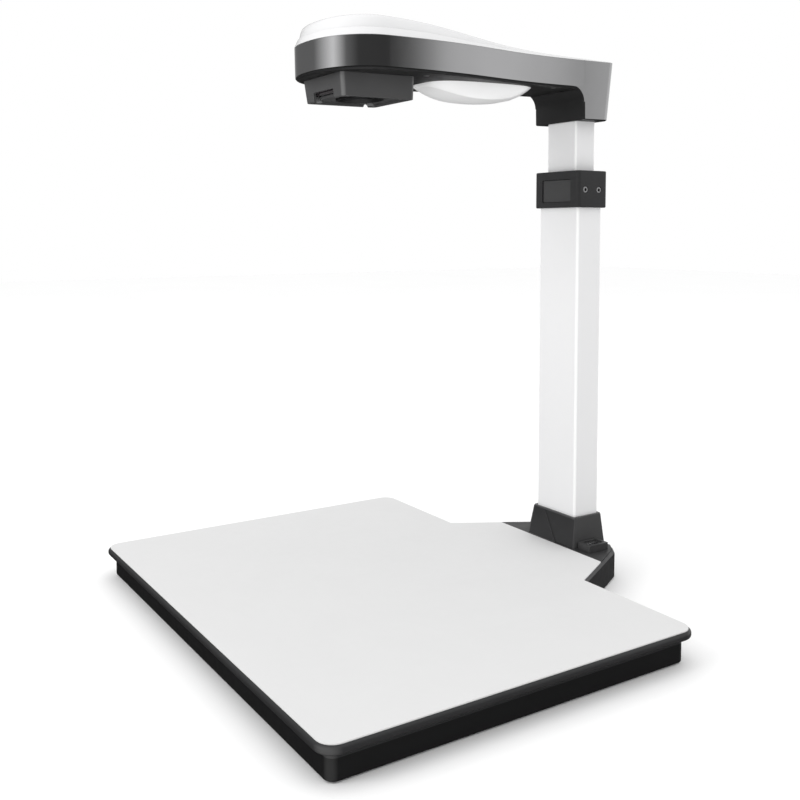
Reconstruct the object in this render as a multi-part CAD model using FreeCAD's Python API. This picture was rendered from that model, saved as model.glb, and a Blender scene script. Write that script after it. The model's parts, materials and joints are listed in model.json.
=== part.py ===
import FreeCAD, Part
import math
import os

from FreeCAD import Vector

os.makedirs("parts", exist_ok=True)

# Overhead book scanner: a flat copy table, a bracket behind it, a telescopic mast, and an arm
# that holds the camera and a lamp over the table.
# Millimetres. +Z up, +Y towards the mast, +X to the right of a reader who faces the mast.
# The origin is at the bottom centre of the whole object, on the surface it stands on.

# ---- driving dimensions ----

SHEET_W = 440.0            # copy surface, across
SHEET_D = 320.0            # copy surface, front to back
SHEET_T = 1.0
SHEET_CORNER_R = 12.0
SHEET_TOP = 28.0
SHEET_Y = -46.0            # centre of the copy surface; it centres the whole object's box on Y

PAD_D = 46.0               # rear tongue of the copy surface, towards the mast
PAD_HALF_FRONT = 98.5
PAD_HALF_REAR = 72.2

LIP_OUT = 2.2              # the table's lip stands this far outside the copy surface
LIP_H = 6.5
COVE_H = 4.5
WALL_IN = 5.0              # the table's wall stands this far inside the copy surface's edge
TABLE_BOTTOM = 1.2
WALL_T = 2.4
DECK_T = 1.8
FOOT_R = 8.0
LIP_ROUND = 2.75
LIP_SEAT_IN = 0.5          # where the hollow curve starts under the lip
COVE_STEPS = 4
RIB_T = 2.0
BOSS_R = 4.0

MAST_Y = SHEET_Y + 230.0
LOWER_X = 54.0             # lower mast tube
LOWER_Y = 30.6
LOWER_WALL = 2.0
LOWER_R = 2.5
UPPER_X = 40.0             # upper mast tube
UPPER_Y = 24.5
UPPER_WALL = 1.8
UPPER_R = 2.0

SOCKET_TOP = 56.5
COLLAR_BOTTOM = 352.0
COLLAR_H = 34.6
COLLAR_X = 62.0
COLLAR_Y = 37.0
COLLAR_WALL = 1.8
COLLAR_R = 3.5

ARM_TOP = 487.4            # top edge of the arm's side band, above the mast's axis
BAND_BOTTOM = 463.6
ARM_UNDER = 460.9          # flat underside of the arm
HEAD_TILT = 1.21           # degrees by which the arm falls towards its nose
ARM_WALL = 2.2
HEAD_HALF = 56.4
HEAD_WIDE_Y = SHEET_Y - 11.2
HEAD_FRONT_Y = SHEET_Y - 56.9
HEAD_POWER = 2.2           # exponent of the head's rounded front
SHAFT_HALF = 34.4
TAPER_END_Y = SHEET_Y + 212.0
NECK_BOTTOM = 433.3
NECK_FRONT_Y = SHEET_Y + 213.4
NECK_REAR_BOTTOM_Y = SHEET_Y + 246.4
NECK_REAR_TOP_Y = SHEET_Y + 254.2
NECK_R = 10.0

LENS_Y = SHEET_Y - 7.0
MODULE_X = 63.3            # camera housing under the head, at its lower edge
MODULE_Y = 67.7
MODULE_BOTTOM = 442.1
MODULE_Y0 = SHEET_Y - 41.0
MODULE_DRAFT_X = 1.7       # the housing widens towards the arm by this on each side
MODULE_DRAFT_FRONT = 1.9

LAMP_Y = SHEET_Y + 110.0
LAMP_HALF_X = 30.5
LAMP_HALF_Y = 56.0
LAMP_BOTTOM = 445.8

FIT = 0.15                 # sliding gap per side between mast pieces
GAP = 0.3                  # gap between curved faces of different pieces


# ---- shape helpers ----

def box(x0, x1, y0, y1, z0, z1):
    return Part.makeBox(x1 - x0, y1 - y0, z1 - z0, Vector(x0, y0, z0))


def plate(cx, cy, wx, wy, z0, z1):
    return box(cx - wx / 2, cx + wx / 2, cy - wy / 2, cy + wy / 2, z0, z1)


def cylinder(x, y, z0, z1, r):
    return Part.makeCylinder(r, z1 - z0, Vector(x, y, z0))


def polygon(points):
    return Part.makePolygon([Vector(*p) for p in points] + [Vector(*points[0])])


def prism(points_xy, z0, z1):
    face = Part.Face(polygon([(x, y, z0) for x, y in points_xy]))
    return face.extrude(Vector(0, 0, z1 - z0))


def side_prism(points_yz, x0, x1):
    face = Part.Face(polygon([(x0, y, z) for y, z in points_yz]))
    return face.extrude(Vector(x1 - x0, 0, 0))


def front_prism(points_xz, y0, y1):
    face = Part.Face(polygon([(x, y0, z) for x, z in points_xz]))
    return face.extrude(Vector(0, y1 - y0, 0))


def arc(centre, r, a0, a1):
    def at(a):
        return centre + Vector(math.cos(a), math.sin(a), 0) * r
    return Part.Arc(at(a0), at((a0 + a1) / 2), at(a1)).toShape()


def rounded_wire(cx, cy, wx, wy, r, z):
    x0, x1, y0, y1 = cx - wx / 2, cx + wx / 2, cy - wy / 2, cy + wy / 2
    quarter = math.pi / 2
    corners = [(x1 - r, y0 + r), (x1 - r, y1 - r), (x0 + r, y1 - r), (x0 + r, y0 + r)]
    starts = [(x0 + r, y0), (x1, y0 + r), (x1 - r, y1), (x0, y1 - r)]
    ends = [(x1 - r, y0), (x1, y1 - r), (x0 + r, y1), (x0, y0 + r)]
    edges = []
    for i in range(4):
        edges.append(Part.makeLine(Vector(*starts[i], z), Vector(*ends[i], z)))
        edges.append(arc(Vector(*corners[i], z), r, (i - 1) * quarter, i * quarter))
    return Part.Wire(edges)


def rounded_prism(cx, cy, wx, wy, r, z0, z1):
    return Part.Face(rounded_wire(cx, cy, wx, wy, r, z0)).extrude(Vector(0, 0, z1 - z0))


def rounded_tube(cx, cy, wx, wy, r, wall, z0, z1):
    outer = rounded_prism(cx, cy, wx, wy, r, z0, z1)
    inner_r = max(r - wall, 0.4)
    inner = rounded_prism(cx, cy, wx - 2 * wall, wy - 2 * wall, inner_r, z0 - 1, z1 + 1)
    return outer.cut(inner)


def loft(wires, ruled=True):
    return Part.makeLoft(wires, True, ruled)


def fuse_all(shapes):
    result = shapes[0]
    if len(shapes) > 1:
        result = shapes[0].fuse(shapes[1:])
    return result.removeSplitter()


def flat_edges_at(shape, z, tolerance=0.01):
    picked = []
    for edge in shape.Edges:
        b = edge.BoundBox
        if abs(b.ZMin - z) < tolerance and abs(b.ZMax - z) < tolerance:
            picked.append(edge)
    return picked


def screw(x, y, z_head, length, r=1.5, head_r=2.8, head_h=1.8, down=True):
    """A pan-head screw with a cross recess; its head ends at z_head."""
    s = -1 if down else 1
    head = Part.makeCylinder(head_r, head_h, Vector(x, y, z_head), Vector(0, 0, s))
    shank = Part.makeCylinder(r, length, Vector(x, y, z_head + s * head_h * 0.9), Vector(0, 0, s))
    body = head.fuse(shank)
    for wx, wy in ((0.7, 2.8), (2.8, 0.7)):
        slot = plate(x, y, wx, wy, z_head - 1.0, z_head + 1.0)
        body = body.cut(slot)
    return body.removeSplitter()


def save(name, *solids):
    flat = []
    for shape in solids:
        flat.extend(shape.Solids)
    for solid in flat:
        if not solid.isValid():
            raise ValueError(name + " has an invalid solid")
    if not flat:
        raise ValueError(name + " is empty")
    shape = flat[0] if len(flat) == 1 else Part.makeCompound(flat)
    shape.exportStep("parts/" + name + ".step")


def tilted(shape):
    """The arm's own frame, turned about the top of the mast so that the nose is lower."""
    turned = shape.copy()
    turned.rotate(Vector(0, MAST_Y, ARM_TOP), Vector(1, 0, 0), HEAD_TILT)
    return turned


def save_tilted(name, *solids):
    save(name, *[tilted(solid) for solid in solids])


# ---- outlines ----

def bezier(points):
    curve = Part.BezierCurve()
    curve.setPoles([Vector(*p) for p in points])
    return curve.toShape()


def arm_wire(inset, z, rear_y):
    """Closed plan outline of the arm: full rounded head, waist, straight shaft, rounded rear."""
    half = HEAD_HALF - inset
    front = HEAD_FRONT_Y + inset
    shaft = SHAFT_HALF - inset
    rear = rear_y - inset
    r = max(NECK_R - inset, 1.0)
    steps = 9
    quarter = []
    for i in range(steps + 1):
        a = math.pi / 2 * i / steps
        x = half * math.sin(a) ** (2 / HEAD_POWER)
        y = HEAD_WIDE_Y - (HEAD_WIDE_Y - front) * math.cos(a) ** (2 / HEAD_POWER)
        quarter.append(Vector(x, y, z))
    nose = Part.BSplineCurve()
    mirrored = [Vector(-p.x, p.y, z) for p in reversed(quarter[1:])]
    nose.interpolate(Points=mirrored + quarter,
                     InitialTangent=Vector(0, -1, 0), FinalTangent=Vector(0, 1, 0))
    reach = (TAPER_END_Y - HEAD_WIDE_Y) / 2

    def waist(s):
        return bezier([(s * half, HEAD_WIDE_Y, z), (s * half, HEAD_WIDE_Y + reach, z),
                       (s * shaft, TAPER_END_Y - reach, z), (s * shaft, TAPER_END_Y, z)])

    edges = [nose.toShape(), waist(1),
             Part.makeLine(Vector(shaft, TAPER_END_Y, z), Vector(shaft, rear - r, z)),
             arc(Vector(shaft - r, rear - r, z), r, 0, math.pi / 2),
             Part.makeLine(Vector(shaft - r, rear, z), Vector(-shaft + r, rear, z)),
             arc(Vector(-shaft + r, rear - r, z), r, math.pi / 2, math.pi),
             Part.makeLine(Vector(-shaft, rear - r, z), Vector(-shaft, TAPER_END_Y, z)),
             waist(-1)]
    return Part.Wire(Part.sortEdges(edges)[0])


def arm_prism(inset, z0, z1, rear_y=NECK_REAR_TOP_Y):
    return Part.Face(arm_wire(inset, z0, rear_y)).extrude(Vector(0, 0, z1 - z0))


def pad_half_at(y, margin=0.0):
    """Half width of the rear tongue, which tapers towards the mast."""
    front = SHEET_Y + SHEET_D / 2
    slope = (PAD_HALF_FRONT - PAD_HALF_REAR) / PAD_D
    return PAD_HALF_FRONT - slope * (y - front) + margin


# ---- table ----

TABLE_REAR = SHEET_Y + SHEET_D / 2
TABLE_FRONT = SHEET_Y - SHEET_D / 2
DECK_TOP = SHEET_TOP - SHEET_T
LIP_BOTTOM = DECK_TOP - LIP_H
COVE_BOTTOM = LIP_BOTTOM - COVE_H
BRACKET_MARGIN = 2.3
WALL_REAR = TABLE_REAR - WALL_IN
PAD_REAR = TABLE_REAR + PAD_D
BRACKET_REAR = SHEET_Y + 249.8
BRACKET_CUT_Y = SHEET_Y + 241.5
BRACKET_CUT_X = 43.0
BRACKET_TOP_EDGE = 2.6


def copy_sheet():
    table = rounded_prism(0, SHEET_Y, SHEET_W, SHEET_D, SHEET_CORNER_R, DECK_TOP, SHEET_TOP)
    tongue = prism([(-PAD_HALF_FRONT, TABLE_REAR - 1), (PAD_HALF_FRONT, TABLE_REAR - 1),
                    (PAD_HALF_FRONT, TABLE_REAR), (PAD_HALF_REAR, PAD_REAR),
                    (-PAD_HALF_REAR, PAD_REAR), (-PAD_HALF_FRONT, TABLE_REAR)],
                   DECK_TOP, SHEET_TOP)
    return table.fuse(tongue).removeSplitter()


def bracket_outline(inset=0.0):
    front = WALL_REAR
    half_front = pad_half_at(front, BRACKET_MARGIN) - inset
    half_cut = pad_half_at(BRACKET_CUT_Y, BRACKET_MARGIN) - inset
    rear = BRACKET_REAR - inset
    return [(-half_front, front), (half_front, front), (half_cut, BRACKET_CUT_Y - inset * 0.5),
            (BRACKET_CUT_X - inset * 0.5, rear), (-BRACKET_CUT_X + inset * 0.5, rear),
            (-half_cut, BRACKET_CUT_Y - inset * 0.5)]


def bracket_inside(gap):
    """Outline of the bracket's hollow, less a gap all round."""
    wall = 3.0 + gap
    half_front = pad_half_at(WALL_REAR + wall, BRACKET_MARGIN) - wall * 1.15
    half_cut = pad_half_at(BRACKET_CUT_Y, BRACKET_MARGIN) - wall * 1.15
    rear = BRACKET_REAR - wall
    cut_x = BRACKET_CUT_X - wall * 0.5
    return [(-half_front, WALL_REAR + wall), (half_front, WALL_REAR + wall),
            (half_cut, BRACKET_CUT_Y - wall * 0.5),
            (cut_x, rear), (-cut_x, rear), (-half_cut, BRACKET_CUT_Y - wall * 0.5)]


def bracket_slot():
    """Space that the bracket takes out of the table's rear lip and cove."""
    return prism([(x * 1.002, y) for x, y in bracket_outline()], COVE_BOTTOM - 1, SHEET_TOP)


def cove_steps():
    """Inset from the copy surface's edge and height, down the hollow curve under the lip."""
    steps = []
    for i in range(COVE_STEPS + 1):
        a = math.pi / 2 * i / COVE_STEPS
        inset = LIP_SEAT_IN + (WALL_IN - LIP_SEAT_IN) * math.sin(a)
        steps.append((inset, LIP_BOTTOM - COVE_H * (1 - math.cos(a))))
    return steps


def table_ring(inset, z):
    return rounded_wire(0, SHEET_Y, SHEET_W - 2 * inset, SHEET_D - 2 * inset, SHEET_CORNER_R - inset, z)


def table_frame():
    """Top frame of the table: rounded lip, hollow curve under it, deck and ribs."""
    lip = Part.Face(table_ring(-LIP_OUT, LIP_BOTTOM)).extrude(Vector(0, 0, LIP_H))
    lip = lip.makeFillet(LIP_ROUND, flat_edges_at(lip, DECK_TOP) + flat_edges_at(lip, LIP_BOTTOM))
    steps = cove_steps()
    pieces = [lip]
    for (high_in, high_z), (low_in, low_z) in zip(steps, steps[1:]):
        pieces.append(loft([table_ring(low_in, low_z), table_ring(high_in, high_z)]))
    body = fuse_all(pieces)
    hollow_in = WALL_IN + WALL_T
    hollow_h = DECK_TOP - DECK_T - COVE_BOTTOM + 1
    hollow = Part.Face(table_ring(hollow_in, COVE_BOTTOM - 1)).extrude(Vector(0, 0, hollow_h))
    body = body.cut(hollow)
    hollow_w = SHEET_W - 2 * hollow_in
    hollow_d = SHEET_D - 2 * hollow_in
    ribs = [plate(x, SHEET_Y, RIB_T, hollow_d + 1, LIP_BOTTOM, DECK_TOP - 1) for x in (-150, -75, 0, 75, 150)]
    ribs += [plate(0, SHEET_Y + y, hollow_w + 1, RIB_T, LIP_BOTTOM, DECK_TOP - 1) for y in (-100, 0, 100)]
    ribs += [cylinder(x, y, COVE_BOTTOM, DECK_TOP - 1, BOSS_R) for x, y in TABLE_SCREWS]
    body = fuse_all([body] + ribs)
    for x, y in TABLE_SCREWS:
        body = body.cut(cylinder(x, y, COVE_BOTTOM - 1, COVE_BOTTOM + 7, 1.25))
    return body.cut(bracket_slot()).removeSplitter()


TABLE_SCREWS = [(sx * 190, SHEET_Y + sy * 132) for sx in (-1, 0, 1) for sy in (-1, 1)]
GROOVE_X0, GROOVE_X1, GROOVE_Z = 34.0, 112.0, 14.6


def table_base():
    w = SHEET_W - 2 * WALL_IN
    d = SHEET_D - 2 * WALL_IN
    r = SHEET_CORNER_R - WALL_IN
    outer = rounded_prism(0, SHEET_Y, w, d, r, TABLE_BOTTOM, COVE_BOTTOM)
    outer = outer.makeFillet(1.0, flat_edges_at(outer, TABLE_BOTTOM))
    inner = rounded_prism(0, SHEET_Y, w - 2 * WALL_T, d - 2 * WALL_T, r - WALL_T,
                          TABLE_BOTTOM + 2.2, COVE_BOTTOM + 1)
    body = outer.cut(inner)
    posts = [cylinder(x, y, TABLE_BOTTOM + 1, COVE_BOTTOM, BOSS_R) for x, y in TABLE_SCREWS]
    body = fuse_all([body] + posts)
    for x, y in TABLE_SCREWS:
        body = body.cut(cylinder(x, y, TABLE_BOTTOM - 1, COVE_BOTTOM + 1, 1.7))
        body = body.cut(cylinder(x, y, TABLE_BOTTOM - 1, TABLE_BOTTOM + 2.4, 3.2))
    groove_y = TABLE_FRONT + WALL_IN
    body = body.cut(box(GROOVE_X0, GROOVE_X1, groove_y - 1, groove_y + 1.4, GROOVE_Z - 0.7, GROOVE_Z + 0.7))
    for x in BRACKET_BOLTS_X:
        hole = Part.makeCylinder(2.2, 10, Vector(x, WALL_REAR - 5, BRACKET_BOLT_Z), Vector(0, 1, 0))
        body = body.cut(hole)
    for x, y in FEET:
        body = body.cut(cylinder(x, y, TABLE_BOTTOM - 1, TABLE_BOTTOM + 0.8, FOOT_R + 0.3))
    return body.removeSplitter()


BRACKET_BOLTS_X = (-80.0, -30.0, 30.0, 80.0)
BRACKET_BOLT_Z = 10.0
FEET = [(sx * 196, SHEET_Y + sy * 148) for sx in (-1, 1) for sy in (-1, 1)]
FEET += [(0, SHEET_Y - 148)]
BRACKET_FEET = [(sx * 34, SHEET_Y + 238.0) for sx in (-1, 1)]


def rubber_foot(x, y):
    foot = cylinder(x, y, 0, TABLE_BOTTOM + 0.8, FOOT_R)
    return foot.makeChamfer(0.5, flat_edges_at(foot, 0))


def ballast_plates():
    z0 = TABLE_BOTTOM + 2.2
    plates = []
    for s in (-1, 1):
        slab = rounded_prism(s * 95, SHEET_Y, 160, 230, 6, z0, z0 + 3.0)
        for dx in (-60, 60):
            slab = slab.cut(cylinder(s * 95 + dx, SHEET_Y, z0 - 1, z0 + 4, 2.2))
        plates.append(slab)
    return plates


# ---- bracket and socket ----

SOCKET_MID_Y = MAST_Y - 0.2
SOCKET_TOP_X, SOCKET_TOP_Y = 60.0, 35.6
SOCKET_FOOT_X, SOCKET_FOOT_Y = 67.0, 43.4
PORT_X0, PORT_X1 = 33.6, 50.0
PORT_Y0, PORT_Y1 = SHEET_Y + 213.5, SHEET_Y + 236.5
PORT_TOP = SHEET_TOP + 6.6
PORT_MID_X = (PORT_X0 + PORT_X1) / 2
PORT_MID_Y = (PORT_Y0 + PORT_Y1) / 2


def rear_bracket():
    low = prism(bracket_outline(), TABLE_BOTTOM, DECK_TOP - BRACKET_TOP_EDGE)
    edge_low = [Vector(x, y, DECK_TOP - BRACKET_TOP_EDGE) for x, y in bracket_outline()]
    edge_top = [Vector(x, y, DECK_TOP) for x, y in bracket_outline(BRACKET_TOP_EDGE * 0.85)]
    bevel = loft([Part.makePolygon(edge_low + edge_low[:1]), Part.makePolygon(edge_top + edge_top[:1])])
    rear_pts = bracket_outline(BRACKET_TOP_EDGE * 0.85)
    half_pad = pad_half_at(PAD_REAR, BRACKET_MARGIN) - BRACKET_TOP_EDGE * 0.85
    step_front = [(-half_pad, PAD_REAR + 0.1), (half_pad, PAD_REAR + 0.1)]
    step = prism(step_front + rear_pts[2:6], DECK_TOP - 0.5, SHEET_TOP)
    body = fuse_all([low, bevel, step])
    body = body.cut(prism(bracket_inside(0.0), TABLE_BOTTOM - 1, DECK_TOP - 2.6))
    for x in BRACKET_BOLTS_X:
        hole = Part.makeCylinder(1.6, 10, Vector(x, WALL_REAR - 5, BRACKET_BOLT_Z), Vector(0, 1, 0))
        body = body.cut(hole)
    for x, y in SOCKET_BOLTS:
        body = body.cut(cylinder(x, y, DECK_TOP - 5, SHEET_TOP + 1, 1.8))
    body = body.cut(plate(0, MAST_Y, 30, 12, DECK_TOP - 5, SHEET_TOP + 1))
    body = body.cut(plate(PORT_MID_X, PORT_MID_Y, 9.0, 15.0, DECK_TOP - 5, SHEET_TOP + 1))
    return body.removeSplitter()


SOCKET_BOLTS = [(sx * 20, MAST_Y + sy * 10.5) for sx in (-1, 1) for sy in (-1, 1)]


def bracket_cover():
    body = prism(bracket_inside(0.3), TABLE_BOTTOM + 0.3, TABLE_BOTTOM + 2.3)
    for x, y in BRACKET_FEET:
        body = body.cut(cylinder(x, y, TABLE_BOTTOM - 1, TABLE_BOTTOM + 0.8, FOOT_R * 0.75 + 0.3))
    return body


def bracket_foot(x, y):
    foot = cylinder(x, y, 0, TABLE_BOTTOM + 0.8, FOOT_R * 0.75)
    return foot.makeChamfer(0.5, flat_edges_at(foot, 0))


def mast_socket():
    foot = rounded_wire(0, SOCKET_MID_Y - 1.2, SOCKET_FOOT_X, SOCKET_FOOT_Y, 4.0, SHEET_TOP)
    top = rounded_wire(0, SOCKET_MID_Y, SOCKET_TOP_X, SOCKET_TOP_Y, 3.0, SOCKET_TOP)
    body = loft([foot, top])
    front = SOCKET_MID_Y - SOCKET_TOP_Y / 2
    panel = front_prism([(-13.7, SOCKET_TOP + 1), (60, SOCKET_TOP + 1), (60, SHEET_TOP - 1),
                         (8.6, SHEET_TOP - 1)],
                        front - 20, front - 0.9)
    body = body.cut(panel)
    floor_z = SHEET_TOP + 4.0
    bore = rounded_prism(0, MAST_Y, LOWER_X + 2 * FIT, LOWER_Y + 2 * FIT, LOWER_R, floor_z, SOCKET_TOP + 1)
    body = body.cut(bore)
    body = body.cut(plate(0, MAST_Y, 30, 12, SHEET_TOP - 1, floor_z + 1))
    for x, y in SOCKET_BOLTS:
        body = body.cut(cylinder(x, y, SHEET_TOP - 1, floor_z + 1, 1.8))
    for x in (-FOOT_SCREW_X, FOOT_SCREW_X):
        body = body.cut(Part.makeCylinder(1.7, 20, Vector(x, MAST_Y + 10, FOOT_SCREW_Z), Vector(0, 1, 0)))
        body = body.cut(Part.makeCylinder(3.2, 6, Vector(x, FOOT_SCREW_SEAT, FOOT_SCREW_Z), Vector(0, 1, 0)))
    return body.removeSplitter()


def port_block():
    body = box(PORT_X0, PORT_X1, PORT_Y0, PORT_Y1, SHEET_TOP, PORT_TOP)
    outer_edges = [e for e in body.Edges if abs(e.BoundBox.XMin - PORT_X1) < 0.01]
    body = body.makeFillet(0.8, outer_edges)
    body = body.cut(plate(PORT_MID_X, PORT_MID_Y, 10.5, 17.0, PORT_TOP - 1.6, PORT_TOP + 1))
    body = body.cut(plate(PORT_MID_X, PORT_MID_Y, 7.0, 14.0, SHEET_TOP - 1, PORT_TOP + 1))
    socket = loft([rounded_wire(0, SOCKET_MID_Y - 1.2, SOCKET_FOOT_X + 0.2, SOCKET_FOOT_Y, 4.0, SHEET_TOP),
                   rounded_wire(0, SOCKET_MID_Y, SOCKET_TOP_X + 0.2, SOCKET_TOP_Y, 3.0, SOCKET_TOP)])
    return body.cut(socket).removeSplitter()


def usb_port():
    shell = plate(PORT_MID_X, PORT_MID_Y, 6.6, 13.6, SHEET_TOP - 5, PORT_TOP - 2.0)
    shell = shell.cut(plate(PORT_MID_X, PORT_MID_Y, 5.8, 12.8, SHEET_TOP - 4, PORT_TOP))
    tongue = plate(PORT_MID_X - 1.3, PORT_MID_Y, 1.6, 11.4, SHEET_TOP - 4.5, PORT_TOP - 3.0)
    return shell.fuse(tongue).removeSplitter()


def port_board():
    return plate(PORT_MID_X - 3, PORT_MID_Y - 6, 27, 26, SHEET_TOP - 6.6, SHEET_TOP - 5)


# ---- mast ----

LOWER_TOP = COLLAR_BOTTOM + COLLAR_H - 3.0
LOWER_FLOOR = SHEET_TOP + 4.0
WINDOW_Z0, WINDOW_Z1 = COLLAR_BOTTOM + 3.4, COLLAR_BOTTOM + 29.0
FOOT_SCREW_X = 12.0
FOOT_SCREW_Z = SHEET_TOP + 14.0
FOOT_SCREW_SEAT = MAST_Y + 18.0
UPPER_BOTTOM = 196.0
UPPER_TOP = 478.0
BUSH_Z0, BUSH_Z1 = 328.0, 352.0


def lower_mast_tube():
    tube = rounded_tube(0, MAST_Y, LOWER_X, LOWER_Y, LOWER_R, LOWER_WALL, LOWER_FLOOR, LOWER_TOP)
    window = plate(0, MAST_Y, 48.8, LOWER_Y + 4, WINDOW_Z0, WINDOW_Z1)
    tube = tube.cut(window)
    for y in COLLAR_SCREW_Y:
        tube = tube.cut(Part.makeCylinder(1.3, 100, Vector(-50, y, COLLAR_SCREW_Z), Vector(1, 0, 0)))
    for x in (-FOOT_SCREW_X, FOOT_SCREW_X):
        tube = tube.cut(Part.makeCylinder(1.7, 10, Vector(x, MAST_Y + 10, FOOT_SCREW_Z), Vector(0, 1, 0)))
    return tube


COLLAR_SCREW_Y = (MAST_Y - 9.5, MAST_Y + 7.5)
COLLAR_SCREW_Z = COLLAR_BOTTOM + 16.6


def mast_foot_plug():
    body = rounded_prism(0, MAST_Y, LOWER_X - 2 * LOWER_WALL - 0.2, LOWER_Y - 2 * LOWER_WALL - 0.2, 1.0,
                         LOWER_FLOOR + 2.0, LOWER_FLOOR + 26)
    body = body.cut(plate(0, MAST_Y, 30, 12, LOWER_FLOOR - 1, LOWER_FLOOR + 30))
    for x, y in SOCKET_BOLTS:
        body = body.cut(cylinder(x, y, LOWER_FLOOR - 1, LOWER_FLOOR + 30, 1.3))
    for x in (-FOOT_SCREW_X, FOOT_SCREW_X):
        body = body.cut(Part.makeCylinder(1.3, 12, Vector(x, MAST_Y + 5, FOOT_SCREW_Z), Vector(0, 1, 0)))
    return body


def cross_screw(x, y, z, direction, length, r, head_r, head_h):
    """A horizontal screw along Y with a hexagon recess; (x, y, z) is the seat under its head."""
    head = Part.makeCylinder(head_r, head_h, Vector(x, y, z), Vector(0, -direction, 0))
    shank = Part.makeCylinder(r, length, Vector(x, y, z), Vector(0, direction, 0))
    corners = []
    for i in range(6):
        a = i * math.pi / 3
        corners.append((x + r * math.cos(a), y - direction * head_h * 0.4, z + r * math.sin(a)))
    recess = Part.Face(polygon(corners)).extrude(Vector(0, -direction * head_h, 0))
    return head.fuse(shank).cut(recess).removeSplitter()


def mast_foot_screws():
    return [cross_screw(x, FOOT_SCREW_SEAT, FOOT_SCREW_Z, -1, 9.5, 1.25, 2.8, 1.6)
            for x in (-FOOT_SCREW_X, FOOT_SCREW_X)]


def socket_bolts():
    head_z = DECK_TOP - 2.6 - 1.8
    return [screw(x, y, head_z, 19.0, r=1.25, head_r=2.8, head_h=1.8, down=False) for x, y in SOCKET_BOLTS]


def bracket_bolts():
    seat = WALL_REAR - WALL_T
    return [cross_screw(x, seat, BRACKET_BOLT_Z, 1, 9.0, 1.5, 3.0, 2.0) for x in BRACKET_BOLTS_X]


def guide_bush():
    body = rounded_prism(0, MAST_Y, LOWER_X - 2 * LOWER_WALL - 0.1, LOWER_Y - 2 * LOWER_WALL - 0.1, 0.8,
                         BUSH_Z0, BUSH_Z1)
    bore = rounded_prism(0, MAST_Y, UPPER_X + 2 * FIT, UPPER_Y + 2 * FIT, UPPER_R, BUSH_Z0 - 1, BUSH_Z1 + 1)
    return body.cut(bore)


def guide_shoe():
    margin = LOWER_WALL + FIT
    body = rounded_prism(0, MAST_Y, LOWER_X - 2 * margin, LOWER_Y - 2 * margin, 0.8,
                         UPPER_BOTTOM - 12, UPPER_BOTTOM + 6)
    pocket = rounded_prism(0, MAST_Y, UPPER_X + 0.1, UPPER_Y + 0.1, UPPER_R, UPPER_BOTTOM, UPPER_BOTTOM + 7)
    body = body.cut(pocket)
    return body.cut(plate(0, MAST_Y, 28, 12, UPPER_BOTTOM - 13, UPPER_BOTTOM + 1))


def upper_mast_tube():
    return rounded_tube(0, MAST_Y, UPPER_X, UPPER_Y, UPPER_R, UPPER_WALL, UPPER_BOTTOM, UPPER_TOP)


# ---- collar and release ----

COLLAR_FRONT = MAST_Y - COLLAR_Y / 2
COLLAR_TOP = COLLAR_BOTTOM + COLLAR_H
BUTTON_HALF_X = 19.5
BUTTON_Z0, BUTTON_Z1 = COLLAR_BOTTOM + 5.4, COLLAR_BOTTOM + 26.4
BUTTON_FACE_Y = COLLAR_FRONT + 1.1
BAR_FRONT = MAST_Y + UPPER_Y / 2 + 0.5
SPRING_X, SPRING_Z = 22.6, COLLAR_BOTTOM + 25.2
FLANGE_Y = COLLAR_FRONT + COLLAR_WALL + 0.1


def collar_housing():
    outer = rounded_prism(0, MAST_Y, COLLAR_X, COLLAR_Y, COLLAR_R, COLLAR_BOTTOM, COLLAR_TOP)
    outer = outer.makeFillet(0.8, flat_edges_at(outer, COLLAR_TOP) + flat_edges_at(outer, COLLAR_BOTTOM))
    fit = 2 * FIT
    lower_seat = rounded_prism(0, MAST_Y, LOWER_X + fit, LOWER_Y + fit, LOWER_R,
                               COLLAR_BOTTOM - 1, LOWER_TOP + 0.5)
    upper_way = rounded_prism(0, MAST_Y, UPPER_X + 2 * GAP, UPPER_Y + 2 * GAP, UPPER_R,
                              LOWER_TOP, COLLAR_TOP + 1)
    body = outer.cut(lower_seat).cut(upper_way)
    chamber_y = COLLAR_Y - 2 * COLLAR_WALL
    body = body.cut(plate(0, MAST_Y, 49.4, chamber_y, WINDOW_Z0, WINDOW_Z1))
    body = body.cut(box(-BUTTON_HALF_X - 0.4, BUTTON_HALF_X + 0.4, COLLAR_FRONT - 1, COLLAR_FRONT + 4,
                        BUTTON_Z0 - 0.4, BUTTON_Z1 + 0.4))
    for y in COLLAR_SCREW_Y:
        body = body.cut(Part.makeCylinder(1.7, 100, Vector(-50, y, COLLAR_SCREW_Z), Vector(1, 0, 0)))
        for s in (-1, 1):
            seat_x = s * (COLLAR_X / 2 - 1.6)
            seat = Part.makeCylinder(3.1, 5, Vector(seat_x, y, COLLAR_SCREW_Z), Vector(s, 0, 0))
            body = body.cut(seat)
    return body.removeSplitter()


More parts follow.
